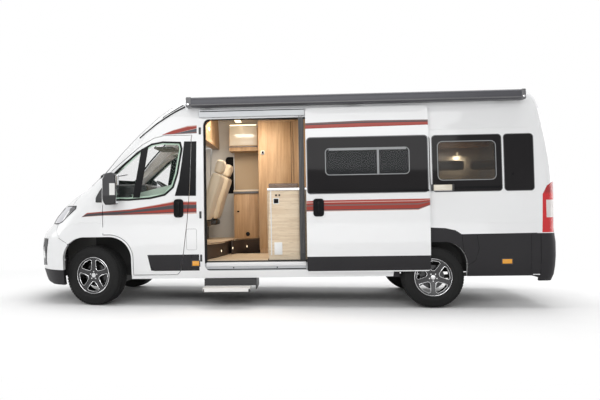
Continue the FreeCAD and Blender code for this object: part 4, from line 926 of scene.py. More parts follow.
shelf_plastic = grained("shelf_plastic", (0.44, 0.57, 0.47), (0.50, 0.63, 0.53), 300, 0.0001, 0.5)
pane_grey = grained("pane_grey", (0.20, 0.21, 0.215), (0.27, 0.28, 0.285), 500, 0.00003, 0.35)
print("small finishes ready")

# %% [markdown]
# A tyre is a ring of rubber. The frame's tyre is a plain ring, so here the real section is walked from
# bead to bead, with a swelling side, a round shoulder and three grooves, and spun round the axle. The
# tread's blocks are one pitch of five boxes, spun with copies.

# %% Tyres
TYRE_SECTION = [(0.222, 0.092), (0.226, 0.101), (0.240, 0.106), (0.262, 0.110), (0.264, 0.112), (0.292, 0.1125),
                (0.294, 0.111), (0.318, 0.108), (0.335, 0.104), (0.345, 0.099), (0.351, 0.091), (0.3545, 0.080),
                (0.3555, 0.064), (0.348, 0.060), (0.348, 0.052), (0.356, 0.048), (0.3565, 0.016), (0.349, 0.012)]
TREAD_PITCHES = 64
BLOCK_LENGTH, BLOCK_HEIGHT = 0.027, 0.010
SHOULDER, MIDDLE_RADIUS, SHOULDER_RADIUS = 0.08, 0.3525, 0.3465
BLOCK_ROWS = [(-0.094, 0.026, 0.3), (-0.056, 0.020, -0.2), (0.0, 0.018, 0.25), (0.056, 0.020, 0.7),
              (0.094, 0.026, 0.2)]


def tyre_ring():
    """The ring round the world's y axis."""
    section = TYRE_SECTION + [(radius, -place) for radius, place in reversed(TYRE_SECTION)]
    ring = walk("tyre_ring", [Vector((0, place, radius)) for radius, place in section])
    bpy.ops.mesh.spin(steps=96, angle=FULL_TURN, **WHEEL_AXIS)
    weld(0.00005)
    bpy.ops.mesh.normals_make_consistent(inside=False)
    let_go()
    return modify(ring, "SOLIDIFY", thickness=0.006, offset=-1)


def tread_ring():
    """Five staggered blocks, and their copies all round."""
    step = FULL_TURN / TREAD_PITCHES
    blocks = []
    for place, width, share in BLOCK_ROWS:
        turn = share * step
        radius = MIDDLE_RADIUS if abs(place) < SHOULDER else SHOULDER_RADIUS
        spot = (radius * math.sin(turn), place, radius * math.cos(turn))
        blocks.append(brick("block", spot, (BLOCK_LENGTH, width, BLOCK_HEIGHT), (0, turn, 0)))
    pitch = joined("tread_ring", *blocks)
    bpy.ops.object.transform_apply(location=True, rotation=True, scale=True)
    open_mesh()
    bpy.ops.mesh.spin(steps=TREAD_PITCHES, dupli=True, angle=FULL_TURN, **WHEEL_AXIS)
    weld(0.00005)
    bpy.ops.mesh.normals_make_consistent(inside=False)
    let_go()
    return pitch


tyre_model = joined("tyre_model", tyre_ring(), tread_ring())
print("tyre triangles", sum(len(face.vertices) - 2 for face in tyre_model.data.polygons))

# %% [markdown]
# The rims are dark with turned, shining edges. The edges are bars that follow each of the five shields'
# outlines on the cone of the spokes. A lip ring, a cap and five bolts finish the wheel.

# %% Bright parts of a wheel
SPOKES = 5
BORE = 0.208
BOLT_CIRCLE = 0.045
LIP_RADIUS, LIP_OUT, LIP_THICK = 0.2185, 0.0905, 0.0045
SPOKE_FOOT = (0.034, 0.0715)
SPOKE_HEAD = (0.2145, 0.0835)
SHIELD = [(-0.07, 0.37), (0.07, 0.37), (0.24, 0.56), (0.39, 0.78), (0.32, 0.88), (0.0, 0.935), (-0.32, 0.88),
          (-0.39, 0.78), (-0.24, 0.56)]


def wheel_face(radius):
    """How far out the spokes' faces are at that radius."""
    share = (radius - SPOKE_FOOT[0]) / (SPOKE_HEAD[0] - SPOKE_FOOT[0])
    return SPOKE_FOOT[1] + share * (SPOKE_HEAD[1] - SPOKE_FOOT[1])


def bright_parts():
    """Edges, lip, cap and bolts, facing along the world's y axis."""
    outline = [Vector((x * BORE, 0, z * BORE)) for x, z in SHIELD]
    for point in outline:
        point.y = wheel_face(point.length) + 0.0015
    edge = rod("shield_edge", outline, 0.0036, closed=True)
    open_mesh()
    bpy.ops.mesh.spin(steps=SPOKES, dupli=True, angle=FULL_TURN, **WHEEL_AXIS)
    weld(0.00002)
    let_go()
    parts = [edge]
    bpy.ops.mesh.primitive_torus_add(major_radius=LIP_RADIUS, minor_radius=LIP_THICK, major_segments=72,
                                     minor_segments=8, location=(0, LIP_OUT, 0), rotation=ACROSS)
    parts.append(bpy.context.object)
    for turn in range(SPOKES):
        angle = FULL_TURN * (turn + 0.5) / SPOKES
        spot = (BOLT_CIRCLE * math.sin(angle), 0.0745, BOLT_CIRCLE * math.cos(angle))
        parts.append(bevel(disc("bolt", 0.010, 0.016, spot, 6), 0.0015, 1))
    cap = bevel(disc("cap", 0.028, 0.012, (0, 0.077, 0), 40), 0.004, 3)
    return joined("bright_parts", *parts, cap)


bright_model = bright_parts()
STEER = math.radians(-15)
for corner, body, side, turn, steer in (
        ("front_left", "front_wheel_left", -1, 36, STEER), ("front_right", "front_wheel_right", 1, 0, STEER),
        ("rear_left", "rear_wheel_left", -1, 0, 0.0), ("rear_right", "rear_wheel_right", 1, 36, 0.0)):
    low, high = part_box("tyre_" + corner)
    for model, name, material, slot in ((tyre_model, "rubber_", rubber, "tyre_rubber"),
                                        (bright_model, "wheel_edges_", polished, "wheel_alloy")):
        take(model)
        bpy.ops.object.duplicate(linked=False)
        piece = named(name + corner)
        spin = Matrix.Rotation(math.radians(turn), 4, "Y")
        face_out = Matrix.Rotation(math.pi if side < 0 else 0.0, 4, "Z")
        piece.matrix_world = (Matrix.Translation((low + high) / 2) @ Matrix.Rotation(steer, 4, "Z") @ face_out
                              @ spin @ piece.matrix_world)
        settle(piece, material, body)
        if model is tyre_model:
            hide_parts("tyre_" + corner)
for model in (tyre_model, bright_model):
    bpy.data.objects.remove(model)
print("wheels dressed")

# %% [markdown]
# The cab's side glass sits in a black rubber, with a bar that parts the fixed corner pane from the one
# that slides down, and the mirror's black foot in its front corner. All of it moves with the door. Dark
# film covers the pillar behind the glass, half on the door and half on the body.

# %% Cab windows
DOOR_BODIES = ("cab_door_left_body", "cab_door_right_body")
QUARTER_FRAME = [(0.235, 1.575), (0.305, 1.640), (0.380, 1.705), (0.520, 1.815), (0.620, 1.885), (0.581, 1.836),
                 (0.486, 1.763), (0.376, 1.669), (0.303, 1.591), (0.277, 1.553), (0.262, 1.50)]
DIVIDER = [(0.478, 1.282), (0.560, 1.282), (0.616, 1.580), (0.668, 1.885), (0.584, 1.868), (0.532, 1.580)]
MIRROR_FOOT = [(0.125, 1.240), (0.310, 1.250), (0.296, 1.37), (0.284, 1.49), (0.276, 1.57), (0.240, 1.560),
               (0.150, 1.475), (0.125, 1.440)]
PILLAR_COVER = [(0.020, 1.236), (0.022, 1.290), (0.064, 1.368), (0.096, 1.410), (0.096, 1.230), (0.034, 1.230)]
PILLAR_ON_DOOR = [(1.104, 1.950), (1.187, 1.947), (1.175, 1.62), (1.157, 1.292), (0.985, 1.295), (1.04, 1.487),
                  (1.075, 1.72)]
PILLAR_ON_BODY = [(1.191, 1.947), (1.252, 1.947), (1.246, 1.62), (1.241, 1.292), (1.161, 1.292), (1.178, 1.62)]


def trim(name, outline, lift, thick, finish, bodies=(), soften=0.0, stride=0.15, slot="dark_trim"):
    """A plate laid on the flank, and its twin on the right."""
    piece = plate(name, laid(flank, outline, lift, stride), thick)
    if soften:
        bevel(piece, soften)
    return both_sides(piece, finish, slot, *bodies)


for name, width, thick, finish, slot in (("glass_tint_left", 0.040, 0.001, green_edge, "tinted_glass"),
                                         ("glass_rubber_left", 0.023, 0.004, rubber, "dark_trim")):
    both_sides(rim_of("cab_glass_left", name, width, thick, sideways), finish, slot, *DOOR_BODIES)
trim("quarter_frame_left", QUARTER_FRAME, 0.003, 0.006, rubber, DOOR_BODIES)
trim("window_bar_left", DIVIDER, 0.004, 0.009, gloss_black, DOOR_BODIES)
trim("mirror_foot_left", MIRROR_FOOT, 0.009, 0.014, dark_trim, DOOR_BODIES, 0.003, 0.06)
trim("pillar_cover_left", PILLAR_COVER, 0.002, 0.006, dark_trim, (), 0.002, 0.06)
trim("pillar_film_door_left", PILLAR_ON_DOOR, 0.0015, 0.003, gloss_black, DOOR_BODIES)
trim("pillar_film_left", PILLAR_ON_BODY, 0.0015, 0.003, gloss_black)
print("cab windows trimmed", len(made))

# %% [markdown]
# A door handle is a dark shell with a scoop, and an upright grip in front of it. The same function makes
# it for the two cab doors and for the sliding door.

# %% Door handles
def handle(name, skin, x_low, x_high, z_low, z_high):
    """Bezel with its scoop, and the grip."""
    outline = rounded(x_low, x_high, z_low, z_high, 0.035)
    bezel = bevel(plate(name, laid(skin, outline, 0.006, stride=1.0), 0.014, rim=0.018), 0.004)
    inner = rounded(x_low + 0.01, x_high - 0.01, z_low + 0.01, z_high - 0.01, 0.03)
    scoop = plate("scoop", laid(skin, inner, 0.002, stride=1.0), 0.004)
    middle = (x_low + x_high) / 2
    y = touch(skin, middle, (z_low + z_high) / 2, 0).y
    grip = board("grip", (middle - 0.017, y - 0.022, z_low + 0.03), (middle + 0.017, y - 0.008, z_high - 0.03),
                 0.009, 3)
    return joined(name, bezel, scoop, grip)


cab_handle = handle("door_handle_left", flank, 0.972, 1.088, 1.035, 1.255)
both_sides(cab_handle, gloss_black, "dark_trim", *DOOR_BODIES)
slider_handle = handle("slider_handle", open_slider, 2.636, 2.762, 1.022, 1.232)
settle(slider_handle, gloss_black)
print("handles made")

# %% [markdown]
# Each mirror has a tall glass that faces back and a small wide-angle one under it.

# %% Mirrors
glass = board("mirror_glass_left", (0.3295, -1.236, 1.30), (0.3325, -1.105, 1.555), 0.012, 3)
both_sides(glass, mirror_glass, "lamp_glass", *DOOR_BODIES)
wide_glass = block("mirror_wide_glass_left", (0.3295, -1.236, 1.215), (0.3325, -1.105, 1.287))
both_sides(wide_glass, mirror_glass, "lamp_glass", *DOOR_BODIES)
print("mirrors dressed")

# %% [markdown]
# The awning's box ends in dark cast caps with a bolt, and its lead rail makes a thin line low on its
# front.

# %% Awning
caps = [board("cap", (front, -1.0815, 2.346), (rear, -0.939, 2.4650), 0.012, 3)
        for front, rear in ((1.146, 1.212), (5.056, 5.108))]
settle(joined("awning_caps", *caps), edge_grey)
rail = board("awning_lead_rail", (1.165, -1.0815, 2.362), (5.089, -1.070, 2.378), 0.004)
settle(rail, edge_grey)
bolts = [disc("bolt", 0.013, 0.008, on_body(x, -1.083, 2.378), 16) for x in (1.172, 5.082)]
settle(bevel(joined("awning_bolts", *bolts), 0.001), polished)
print("awning dressed")

# %% [markdown]
# Round the open doorway runs a black rubber seal. The sill is a bright strip over the pale face of the
# lower track, and three blocks on the front edge take the shut door's load.

# %% Doorway
DOORWAY_LINE = [(1.46, 0.396), (1.404, 0.396), (1.354, 0.414), (1.334, 0.464), (1.334, 2.142), (1.354, 2.192),
                (1.404, 2.212), (2.545, 2.212)]
WAIST, LEAN_IN = 1.2, 0.045
inward = Vector((0.012, 0.012, 0))
seal_points = [on_body(x, -0.984 + max(0.0, z - WAIST) * LEAN_IN, z) + inward for x, z in DOORWAY_LINE]
settle(rod("doorway_seal", seal_points, 0.015, sides=2), rubber)
keeps = []
for z in (2.030, 1.020, 0.505):
    y = touch(flank, 1.292, z, 0).y
    keeps.append(board("keep", (1.280, y - 0.008, z), (1.306, y + 0.02, z + 0.085), 0.006))
settle(joined("doorway_blocks", *keeps), dark_trim)
sill = board("doorway_sill", (1.352, -0.9995, 0.440), (2.545, -0.900, 0.489), 0.006, 3)
settle(sill, satin_metal)
track_face = board("track_face", (1.356, -0.9985, 0.412), (2.545, -0.9955, 0.440), 0.001, 1)
settle(track_face, anodised)
# The track's two holes are black discs: painted shade in the holes.
holes = [bevel(disc("hole", 0.008, 0.004, on_body(x, -0.999, 0.425), 14), 0.001, 1) for x in (1.68, 2.20)]
settle(joined("track_holes", *holes), gloss_black)
settle(board("track_shadow", (1.360, -0.9990, 0.400), (2.545, -0.9960, 0.411), 0.001, 1), rubber)
settle(board("rail_shadow", (1.300, -0.9895, 2.296), (2.550, -0.975, 2.306), 0.002), rubber)
print("doorway trimmed")

# %% [markdown]
# The flyscreen's housing is a ribbed upright, and the step has ribs against slipping, a white nose and
# dark ends. Ribs are one bar with its copies.

# %% Flyscreen and step
ribs = [board("rib", (x, -0.9505, 0.585), (x + 0.006, -0.944, 2.235), 0.002)
        for x in (2.479, 2.496, 2.513, 2.531)]
settle(joined("flyscreen_ribs", *ribs), edge_grey)
treads = [board("rib", (1.37, y, 0.2005), (1.855, y + 0.012, 0.2045), 0.0015, 1)
          for y in [-1.235 + 0.024 * row for row in range(11)]]
settle(joined("step_ribs", *treads), edge_grey, "entrance_step")
nose = board("step_nose", (1.347, -1.2515, 0.170), (1.878, -1.2485, 0.198), 0.001)
settle(nose, white_plastic, "entrance_step")
ends = [board("end", (low, -1.2530, 0.163), (high, -1.185, 0.203), 0.004)
        for low, high in ((1.3378, 1.354), (1.868, 1.888))]
settle(joined("step_end_caps", *ends), dark_trim, "entrance_step")
print("step and flyscreen dressed", len(made))

# %% [markdown]
# The dark windows are double acrylic panes. Each has a thin lighter edge, and in the glazed part a
# round-cornered frame shows through, with the blind's bars behind it.

# %% Windows of the living space
settle(rim_of("habitation_windows", "window_edges", 0.007, 0.002, sideways), edge_grey)
settle(rim_of("sliding_door_window", "slider_window_edge", 0.010, 0.003, sideways), edge_grey)


def pane_frame(name, skin, outline, width):
    """A thin frame on the window."""
    return plate(name, laid(skin, outline, stride=0.4), 0.002, rim=width)


def bar(x_low, x_high, z_low, z_high):
    """A rectangle's corners, as (x, z) points."""
    return [(x_low, z_low), (x_high, z_low), (x_high, z_high), (x_low, z_high)]


slider_pane = pane_frame("slider_pane", open_slider, rounded(2.784, 3.768, 1.503, 1.824, 0.05), 0.010)
settle(slider_pane, pane_grey)
bars = [plate("bar", laid(open_slider, corners, stride=1), 0.002)
        for corners in (bar(3.390, 3.415, 1.512, 1.815), bar(2.83, 3.73, 1.795, 1.822))]
settle(joined("slider_blind_bars", *bars), pane_grey)
lower_bar = board("slider_lower_bar", (2.575, -1.0965, 1.298), (3.985, -1.083, 1.318), 0.004)
settle(lower_bar, gloss_black)
rear_pane = pane_frame("rear_pane_left", flank, rounded(4.10, 4.78, 1.42, 1.885, 0.06), 0.009)
both_sides(rear_pane, pane_grey, "dark_window")
trim("window_latch_left", bar(4.05, 4.83, 1.322, 1.348), 0.003, 0.006, gloss_black, stride=0.4,
     slot="dark_window")
lock = bevel(disc("panel_lock_left", 0.013, 0.008, touch(flank, 4.967, 1.484, 0.003)), 0.003)
both_sides(lock, gloss_black, "dark_window")
print("windows dressed", len(made))

# %% [markdown]
# The cladding is moulded in lengths, so its joints show as thin dark lines, and its last length is a
# stack of narrow plates that follow the bulge of the corner. Small markers, the fuel flap's edge, the
# creases of the pressed panels and the sliding door's carriage finish the flanks.

# %% Flank details
SEAM_LINES = [
    [(0.684, 0.446), (0.727, 0.403), (1.180, 0.398)],
    [(4.395, 0.55), (4.375, 0.66), (4.366, 0.786)],
    [(4.430, 0.420), (4.520, 0.480), (4.560, 0.620), (4.540, 0.780)],
    [(1.178, 0.40), (1.178, 0.585)],
]
MARKERS = ((1.186, 1.268, 0.455, 0.512), (4.826, 4.936, 0.440, 0.492))
SEAM_RADIUS = 0.0022


def drawn(name, line, lift, radius, **options):
    """A round bar along a line of (x, z) points on the flank."""
    sides = options.pop("sides", 1)
    return rod(name, laid(flank, line, lift, closed=False, **options), radius, sides=sides)


seams = [drawn("seam", line, 0.0, SEAM_RADIUS) for line in SEAM_LINES]
both_sides(joined("cladding_seams_left", *seams), gloss_black, "cladding_black")
creases = [drawn("crease", [(4.02, 2.026), (5.14, 2.026)], -0.0015, 0.004),
           drawn("crease", [(4.02, 0.918), (5.25, 0.918)], -0.0015, 0.003)]
both_sides(joined("panel_creases_left", *creases), white_paint, "body_white")
flap_line = laid(flank, rounded(1.120, 1.243, 0.646, 0.896, 0.02), 0.0, stride=0.3)
flap = rod("fuel_flap_edge_left", flap_line, 0.0016, closed=True)
settle(flap, edge_grey)
markers, shells = [], []
for x_low, x_high, z_low, z_high in MARKERS:
    y = touch(flank, (x_low + x_high) / 2, (z_low + z_high) / 2, 0).y
    shells.append(board("shell", (x_low - 0.012, y - 0.004, z_low - 0.012),
                        (x_high + 0.012, y + 0.006, z_high + 0.012), 0.004))
    markers.append(board("lens", (x_low, y - 0.010, z_low), (x_high, y, z_high), 0.005, 3))
both_sides(joined("side_markers_left", *markers), amber_lens, "lamp_glass")
both_sides(joined("marker_shells_left", *shells), dark_trim, "dark_trim")
courses = []
for row in range(9):
    low, high = 0.314 + 0.0528 * row, 0.3675 + 0.0528 * row
    corners = [(5.160, low), (5.290 - 0.003 * row, low), (5.287 - 0.003 * row, high), (5.160, high)]
    courses.append(plate("course", laid(flank, corners, 0.002, stride=0.2), 0.005))
both_sides(joined("cladding_end_left", *courses), cladding_plastic, "cladding_black")
end_seam = drawn("cladding_end_seam_left", [(5.268, 0.316), (5.264, 0.785)], 0.006, SEAM_RADIUS)
both_sides(end_seam, gloss_black, "cladding_black")
bracket_ends = [board("end", (x, -1.062, 1.300), (x + 0.022, -1.020, 1.376), 0.006) for x in (4.018, 4.256)]
settle(joined("carriage_ends", *bracket_ends), dark_trim)
arm_cover = board("carriage_cover", (4.040, -1.060, 1.304), (4.256, -1.024, 1.372), 0.010, 3)
settle(arm_cover, cream_lacquer)
print("flanks dressed", len(made))

# %% [markdown]
# At the front, each headlamp has a dark border round its cover, and the windscreen has one of black
# enamel. Both are the rim of the node's own outer face.

# %% Front borders
lamp_rim = rim_of("headlamps", "headlamp_borders", 0.010, 0.003,
                  lambda face: face.normal.x < -0.2 or sideways(face))
settle(lamp_rim, gloss_black)
screen_rim = rim_of("windscreen", "windscreen_edge", 0.035, 0.002,
                    lambda face: face.normal.x < -0.25 and face.normal.z > 0.1)
settle(screen_rim, gloss_black)
print("front dressed", len(made))

# %% [markdown]
# More of the front: wipers lie at the screen's foot, a bright line crosses the grille over a blank
# number plate, a fog lamp and a dark side piece sit in each corner, and thin shadows mark the joints
# and edges of the pressed panels.

# %% Nose
front_skin = skin_of("front_bumper", "front_grille", "bonnet", "windscreen", "scuttle", "headlamps", "wings")
SIDE_PIECE = [(-0.690, 0.792), (-0.748, 0.794), (-0.806, 0.792), (-0.804, 0.730), (-0.800, 0.665),
              (-0.778, 0.600), (-0.768, 0.530), (-0.764, 0.462), (-0.746, 0.462), (-0.748, 0.530),
              (-0.745, 0.600), (-0.715, 0.640), (-0.688, 0.700)]
WIPERS = [[(-0.62, 1.575), (-0.20, 1.645)], [(0.05, 1.575), (0.52, 1.645)]]
JOINT_LINES = [
    [(-0.300, 1.205), (-0.272, 1.262), (-0.248, 1.312)],
    [(-0.455, 0.806), (-0.400, 0.773), (-0.345, 0.742)],
    [(-0.489, 0.975), (-0.505, 0.900), (-0.456, 0.812)],
]
ARCH_CREASE = [(-0.470, 0.800), (-0.386, 0.906), (-0.330, 0.947), (-0.262, 0.974), (-0.156, 0.989),
               (0.09, 0.977)]
ROOF_LINE = [(0.556, 2.002), (0.620, 2.054), (0.686, 2.104), (0.775, 2.174), (0.888, 2.247), (1.002, 2.317),
             (1.111, 2.372)]
UPPER_LINE = [(0.843, 2.246), (0.957, 2.317), (1.026, 2.360), (1.089, 2.395)]


def touch_front(y, z, lift):
    """The place on the nose, seen from the front."""
    return meet(front_skin, Vector((-4.0, y, z)), Vector((1, 0, 0)), lift)


insert = plate("bumper_insert_left", [touch_front(y, z, 0.005) for y, z in SIDE_PIECE], 0.007)
both_sides(insert, gloss_black, "dark_trim")
grille_line = [touch_front(0.04 * step, 0.745, -0.001) for step in range(-12, 13)]
settle(rod("grille_line", grille_line, 0.007, sides=2), polished)
plate_place = Vector((cad_box[0][0] + 0.0019, 0.0, 0.60))
number_plate = bevel(brick("front_plate_blank", plate_place, (0.003, 0.52, 0.112)), 0.001)
settle(number_plate, white_plastic)
holder_place = plate_place + Vector((0.0125, 0, 0))
plate_holder = bevel(brick("front_plate_holder", holder_place, (0.022, 0.54, 0.128)), 0.003)
settle(plate_holder, dark_trim)
fog = disc("fog_lamp_left", 0.048, 0.014, touch_front(-0.655, 0.50, -0.003), 36, (0, math.pi / 2, 0.42))
take(fog)
bpy.ops.object.mode_set(mode="EDIT")
cage = bmesh.from_edit_mesh(fog.data)
bpy.ops.mesh.select_mode(type="FACE")
for face in cage.faces:
    face.select = abs(face.normal.z) > 0.9
bpy.ops.mesh.inset(thickness=0.008)
bpy.ops.transform.resize(value=(1, 1, 0.5))
let_go()
both_sides(bevel(fog, 0.002), edge_grey, "dark_trim")
blades = []
for (start_y, start_z), (end_y, end_z) in WIPERS:
    line = [touch_front(start_y + (end_y - start_y) * step / 8, start_z + (end_z - start_z) * step / 8, 0.012)
            for step in range(9)]
    arm = [line[0] + Vector((0.01, -0.01, -0.03)), line[0] + Vector((-0.012, 0.05, 0.0)),
           line[4] + Vector((-0.010, 0, 0.002))]
    blades += [rod("blade", line, 0.006), rod("arm", arm, 0.007)]
settle(joined("wipers", *blades), rubber)
joints = [drawn("joint", line, -0.0005, SEAM_RADIUS, stride=0.05) for line in JOINT_LINES]
both_sides(joined("panel_joints_left", *joints), edge_grey, "body_white")
strips = []
for line, size in ((ROOF_LINE, 0.010), (UPPER_LINE, 0.006)):
    points = [meet(flank, on_body(x, -3, z), Vector((0, 1, 0)), 0.001) for x, z in line]
    strips.append(rod("strip", points, size, sides=2))
both_sides(joined("roof_edge_left", *strips), rubber, "dark_trim")
arch_bead = drawn("arch_crease_left", ARCH_CREASE, -0.002, 0.0055, stride=0.06, sides=2)
both_sides(arch_bead, white_paint, "body_white")
print("nose dressed", len(made))

# %% [markdown]
# At the rear the two doors have black-edged glass with fine heater lines. The left one has a long
# handle in a dark recess, the right one a blank number plate, and a red lamp sits high above both.

# %% Rear
REAR_BODIES = ("rear_door_left_body", "rear_door_right_body")
PLATE_MIDDLE = 0.40
rear_skin = skin_of("rear_door_left", "rear_door_right", "rear_glass_left", "rear_glass_right", "rear_bumper",
                    "roof_panel")


def touch_rear(y, z, lift=0.0):
    """The place on the rear doors, seen from behind."""
    return meet(rear_skin, Vector((4.0, y, z)), Vector((-1, 0, 0)), lift)


rear_rim = rim_of("rear_glass_left", "rear_glass_edge_left", 0.022, 0.003, lambda face: face.normal.x > 0.5)
both_sides(rear_rim, gloss_black, "dark_window", *REAR_BODIES)
heater = [rod("line", [touch_rear(-0.70 + 0.055 * step, z, 0.0004) for step in range(11)], 0.0009)
          for z in [1.45 + 0.05 * row for row in range(11)]]
both_sides(joined("heater_lines_left", *heater), edge_grey, "dark_window", *REAR_BODIES)
back = touch_rear(-0.10, 1.10).x
recess = [Vector((back + 0.004, y, z)) for y, z in rounded(-0.155, -0.045, 0.98, 1.22, 0.03)]
bezel = plate("rear_handle", recess, 0.010, rim=0.014)
grip = block("grip", (0, -0.118, 1.01), (0.016, -0.082, 1.19))
grip.location.x = back + 0.012
bevel(grip, 0.006, 3)
settle(joined("rear_handle", bezel, grip), gloss_black, "rear_door_left_body")
for z, size, name, material, slot in (
        (1.08, (0.006, 0.52, 0.112), "rear_plate_blank", white_plastic, "lamp_glass"),
        (1.155, (0.022, 0.34, 0.026), "rear_plate_light", dark_trim, "dark_trim")):
    spot = (touch_rear(PLATE_MIDDLE, z).x + size[0] / 2 - 0.001, PLATE_MIDDLE, z)
    settle(bevel(brick(name, spot, size), 0.002), material, "rear_door_right_body")
high_lamp = bevel(brick("high_brake_lamp", touch_rear(0.0, 2.405), (0.016, 0.34, 0.028)), 0.006, 3)
settle(high_lamp, red_plastic)
print("rear dressed", len(made))

# %% [markdown]
# The roof carries two acrylic hatches in dark frames, and its pressed ribs run lengthways.

# %% Roof
HATCH_HALF = 0.27
hatch_low, hatch_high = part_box("rooflights")
roof_skin = skin_of("roof_panel")


def touch_roof(x, y, lift):
    """The place on the roof, seen from above."""
    return meet(roof_skin, Vector((x, y, 4.0)), Vector((0, 0, -1)), lift)


for name, x_low, x_high in (("front_hatch_frame", hatch_low.x - 0.02, hatch_low.x + 0.72),
                            ("rear_hatch_frame", hatch_high.x - 0.42, hatch_high.x + 0.02)):
    ring = [touch_roof(x, y, 0.006) for x, y in rounded(x_low, x_high, -HATCH_HALF, HATCH_HALF, 0.05)]
    settle(bevel(plate(name, ring, 0.016, rim=0.035), 0.004), dark_trim)
rib_pieces = [rod("rib", [touch_roof(-0.9 + 0.22 * step, y, 0.0) for step in range(17)], 0.007, sides=2)
              for y in (-0.55, -0.36, 0.36, 0.55)]
settle(joined("roof_ribs", *rib_pieces), white_paint)
print("roof dressed", len(made))

# %% [markdown]
# The living space shows through the doorway. Its light is warm and comes from above; small strips, dots
# and a reading lamp glow. The floor is oak board.

# %% Light and floor inside
WARM_LIGHT = (1.0, 0.90, 0.77)
for place, aim, size, power in (((1.75, -0.35, 2.24), (1.75, 0.1, 0.5), (0.9, 0.5), 15.0),
                                ((4.4, 0.0, 2.05), (4.4, 0.0, 0.5), (0.7, 0.9), 9.0),
                                ((0.9, 0.0, 2.05), (0.9, 0.0, 0.5), (0.5, 0.9), 3.0)):
    lamp("cabin_light", on_body(*place), on_body(*aim), size, power).data.color = WARM_LIGHT
glowing = Finish("warm_glow", Emission_Strength=2.2, Roughness=0.5)
glow_cloud = glowing.noise(glowing.place(), 9.0)
warm_glow = glowing.feed(Base_Color=glowing.mix(glow_cloud, (0.9, 0.8, 0.6), (0.95, 0.85, 0.66)),
                         Emission_Color=glowing.mix(glow_cloud, (1.0, 0.80, 0.50), (1.0, 0.86, 0.60)))
boards = [block("board", (1.352, -0.955, 0.5055), (2.088, 0.185, 0.5115)),
          block("board", (2.092, -0.395, 0.5055), (4.05, 0.185, 0.5115))]
settle(bevel(joined("floor_boards", *boards), 0.001, 1), oak_level)
strips = [board("strip", (1.50, 0.615, 2.318), (1.88, 0.645, 2.330), 0.003, 1),
          board("strip", (1.60, -0.30, 2.345), (1.68, 0.50, 2.353), 0.002, 1)]
settle(joined("ceiling_strips", *strips), warm_glow)
dots = [bevel(disc("dot", 0.014, 0.006, on_body(*place), 16, LENGTHWAYS), 0.002, 1)
        for place in ((1.488, -0.58, 0.60), (1.576, -0.01, 0.60), (1.744, 0.325, 0.60))]
settle(joined("step_lights", *dots), warm_glow)
reading_lamp = bevel(disc("reading_lamp", 0.012, 0.050, on_body(4.775, 0.880, 1.866), 20, (0, 0, 0)), 0.003)
settle(reading_lamp, warm_glow)
reading_light = lamp("reading_light", on_body(4.775, 0.850, 1.83), on_body(4.775, 0.95, 1.50),
                     (0.05, 0.05), 1.6)
reading_light.data.color = (1.0, 0.86, 0.66)
print("lit inside", len(made))

# %% [markdown]
# In the cab, the upper body of the dashboard shows through the side glass, with a shelf along each
# door and two sun visors on arms.

# %% Inside the cab
settle(board("dashboard_body", (0.10, -0.780, 1.150), (0.600, 0.780, 1.452), 0.04, 4), dark_trim)
visor = board("sun_visor_left", (0.700, -0.820, 1.880), (0.930, -0.300, 1.905), 0.010, 3)
both_sides(visor, visor_cloth, "dark_trim")
VISOR_ARM = [(-0.330, 1.893), (-0.790, 1.893), (-0.800, 1.96), (-0.815, 2.095)]
visor_arm = rod("visor_arm_left", [on_body(0.720, y, z) for y, z in VISOR_ARM], 0.006, sides=2)
both_sides(visor_arm, dark_trim, "dark_trim")
SHELF = [(0.324, 1.301), (0.474, 1.330), (0.700, 1.384), (0.945, 1.440), (0.930, 1.390), (0.870, 1.330),
         (0.780, 1.293), (0.554, 1.270), (0.337, 1.268)]
shelf = plate("door_shelf_left", [on_body(x, -0.880 + 0.10 * (z - 1.27), z) for x, z in SHELF], 0.004)
both_sides(bevel(shelf, 0.001, 1), shelf_plastic, "dark_trim", *DOOR_BODIES)
print("cab furnished", len(made))

# %% [markdown]
# The cupboards are solids of the frame. Their doors, edges, handles, sockets and worktop are thin
# boards laid on them. The blind is one sheet, stretched between its bars.

# %% Furniture fronts
def front_board(name, low, high, material, edge=0.002):
    """A board laid on a cabinet, with eased edges."""
    return settle(board(name, low, high, edge), material)


front_board("wardrobe_door", (1.945, 0.190, 0.580), (2.375, 0.1995, 2.300), oak_upright)
front_board("wardrobe_edge", (2.383, 0.184, 0.560), (2.400, 0.1995, 2.315), oak_upright)
front_board("wardrobe_gap", (2.376, 0.196, 0.570), (2.382, 0.1995, 2.310), gloss_black, 0.0005)
front_board("wardrobe_end", (1.926, 0.212, 0.560), (1.9335, 0.600, 2.310), oak_upright)
front_board("wall_switch", (1.966, 0.180, 1.862), (2.012, 0.1895, 1.914), white_plastic, 0.003)
front_board("switch_key", (1.973, 0.176, 1.869), (2.005, 0.1805, 1.907), gloss_black)
front_board("kitchen_front", (2.103, -0.8925, 0.560), (2.470, -0.8855, 1.335), oak_level)
front_board("kitchen_trim", (2.126, -0.8965, 0.562), (2.138, -0.8925, 1.335), white_plastic, 0.001)
front_board("kitchen_end", (2.088, -0.880, 0.560), (2.0965, -0.410, 1.335), oak_level)
front_board("kitchen_vent", (2.166, -0.897, 0.566), (2.262, -0.8925, 0.716), white_plastic)
front_board("worktop_edge", (2.090, -0.902, 1.340), (3.30, -0.8855, 1.368), polished, 0.003)
front_board("worktop", (2.098, -0.883, 1.3585), (3.30, -0.408, 1.372), cream_lacquer)
front_board("smoked_cover", (2.105, -0.880, 1.376), (2.470, -0.420, 1.428), smoked_acrylic,
            0.012)
front_board("socket_frame", (2.160, -0.8965, 1.178), (2.232, -0.8925, 1.250), white_plastic)
front_board("socket", (2.169, -0.899, 1.187), (2.223, -0.8955, 1.241), gloss_black)
knobs = [bevel(disc("knob", 0.011, 0.016, on_body(x, -0.900, 1.284), 20), 0.003) for x in (2.196, 2.236)]
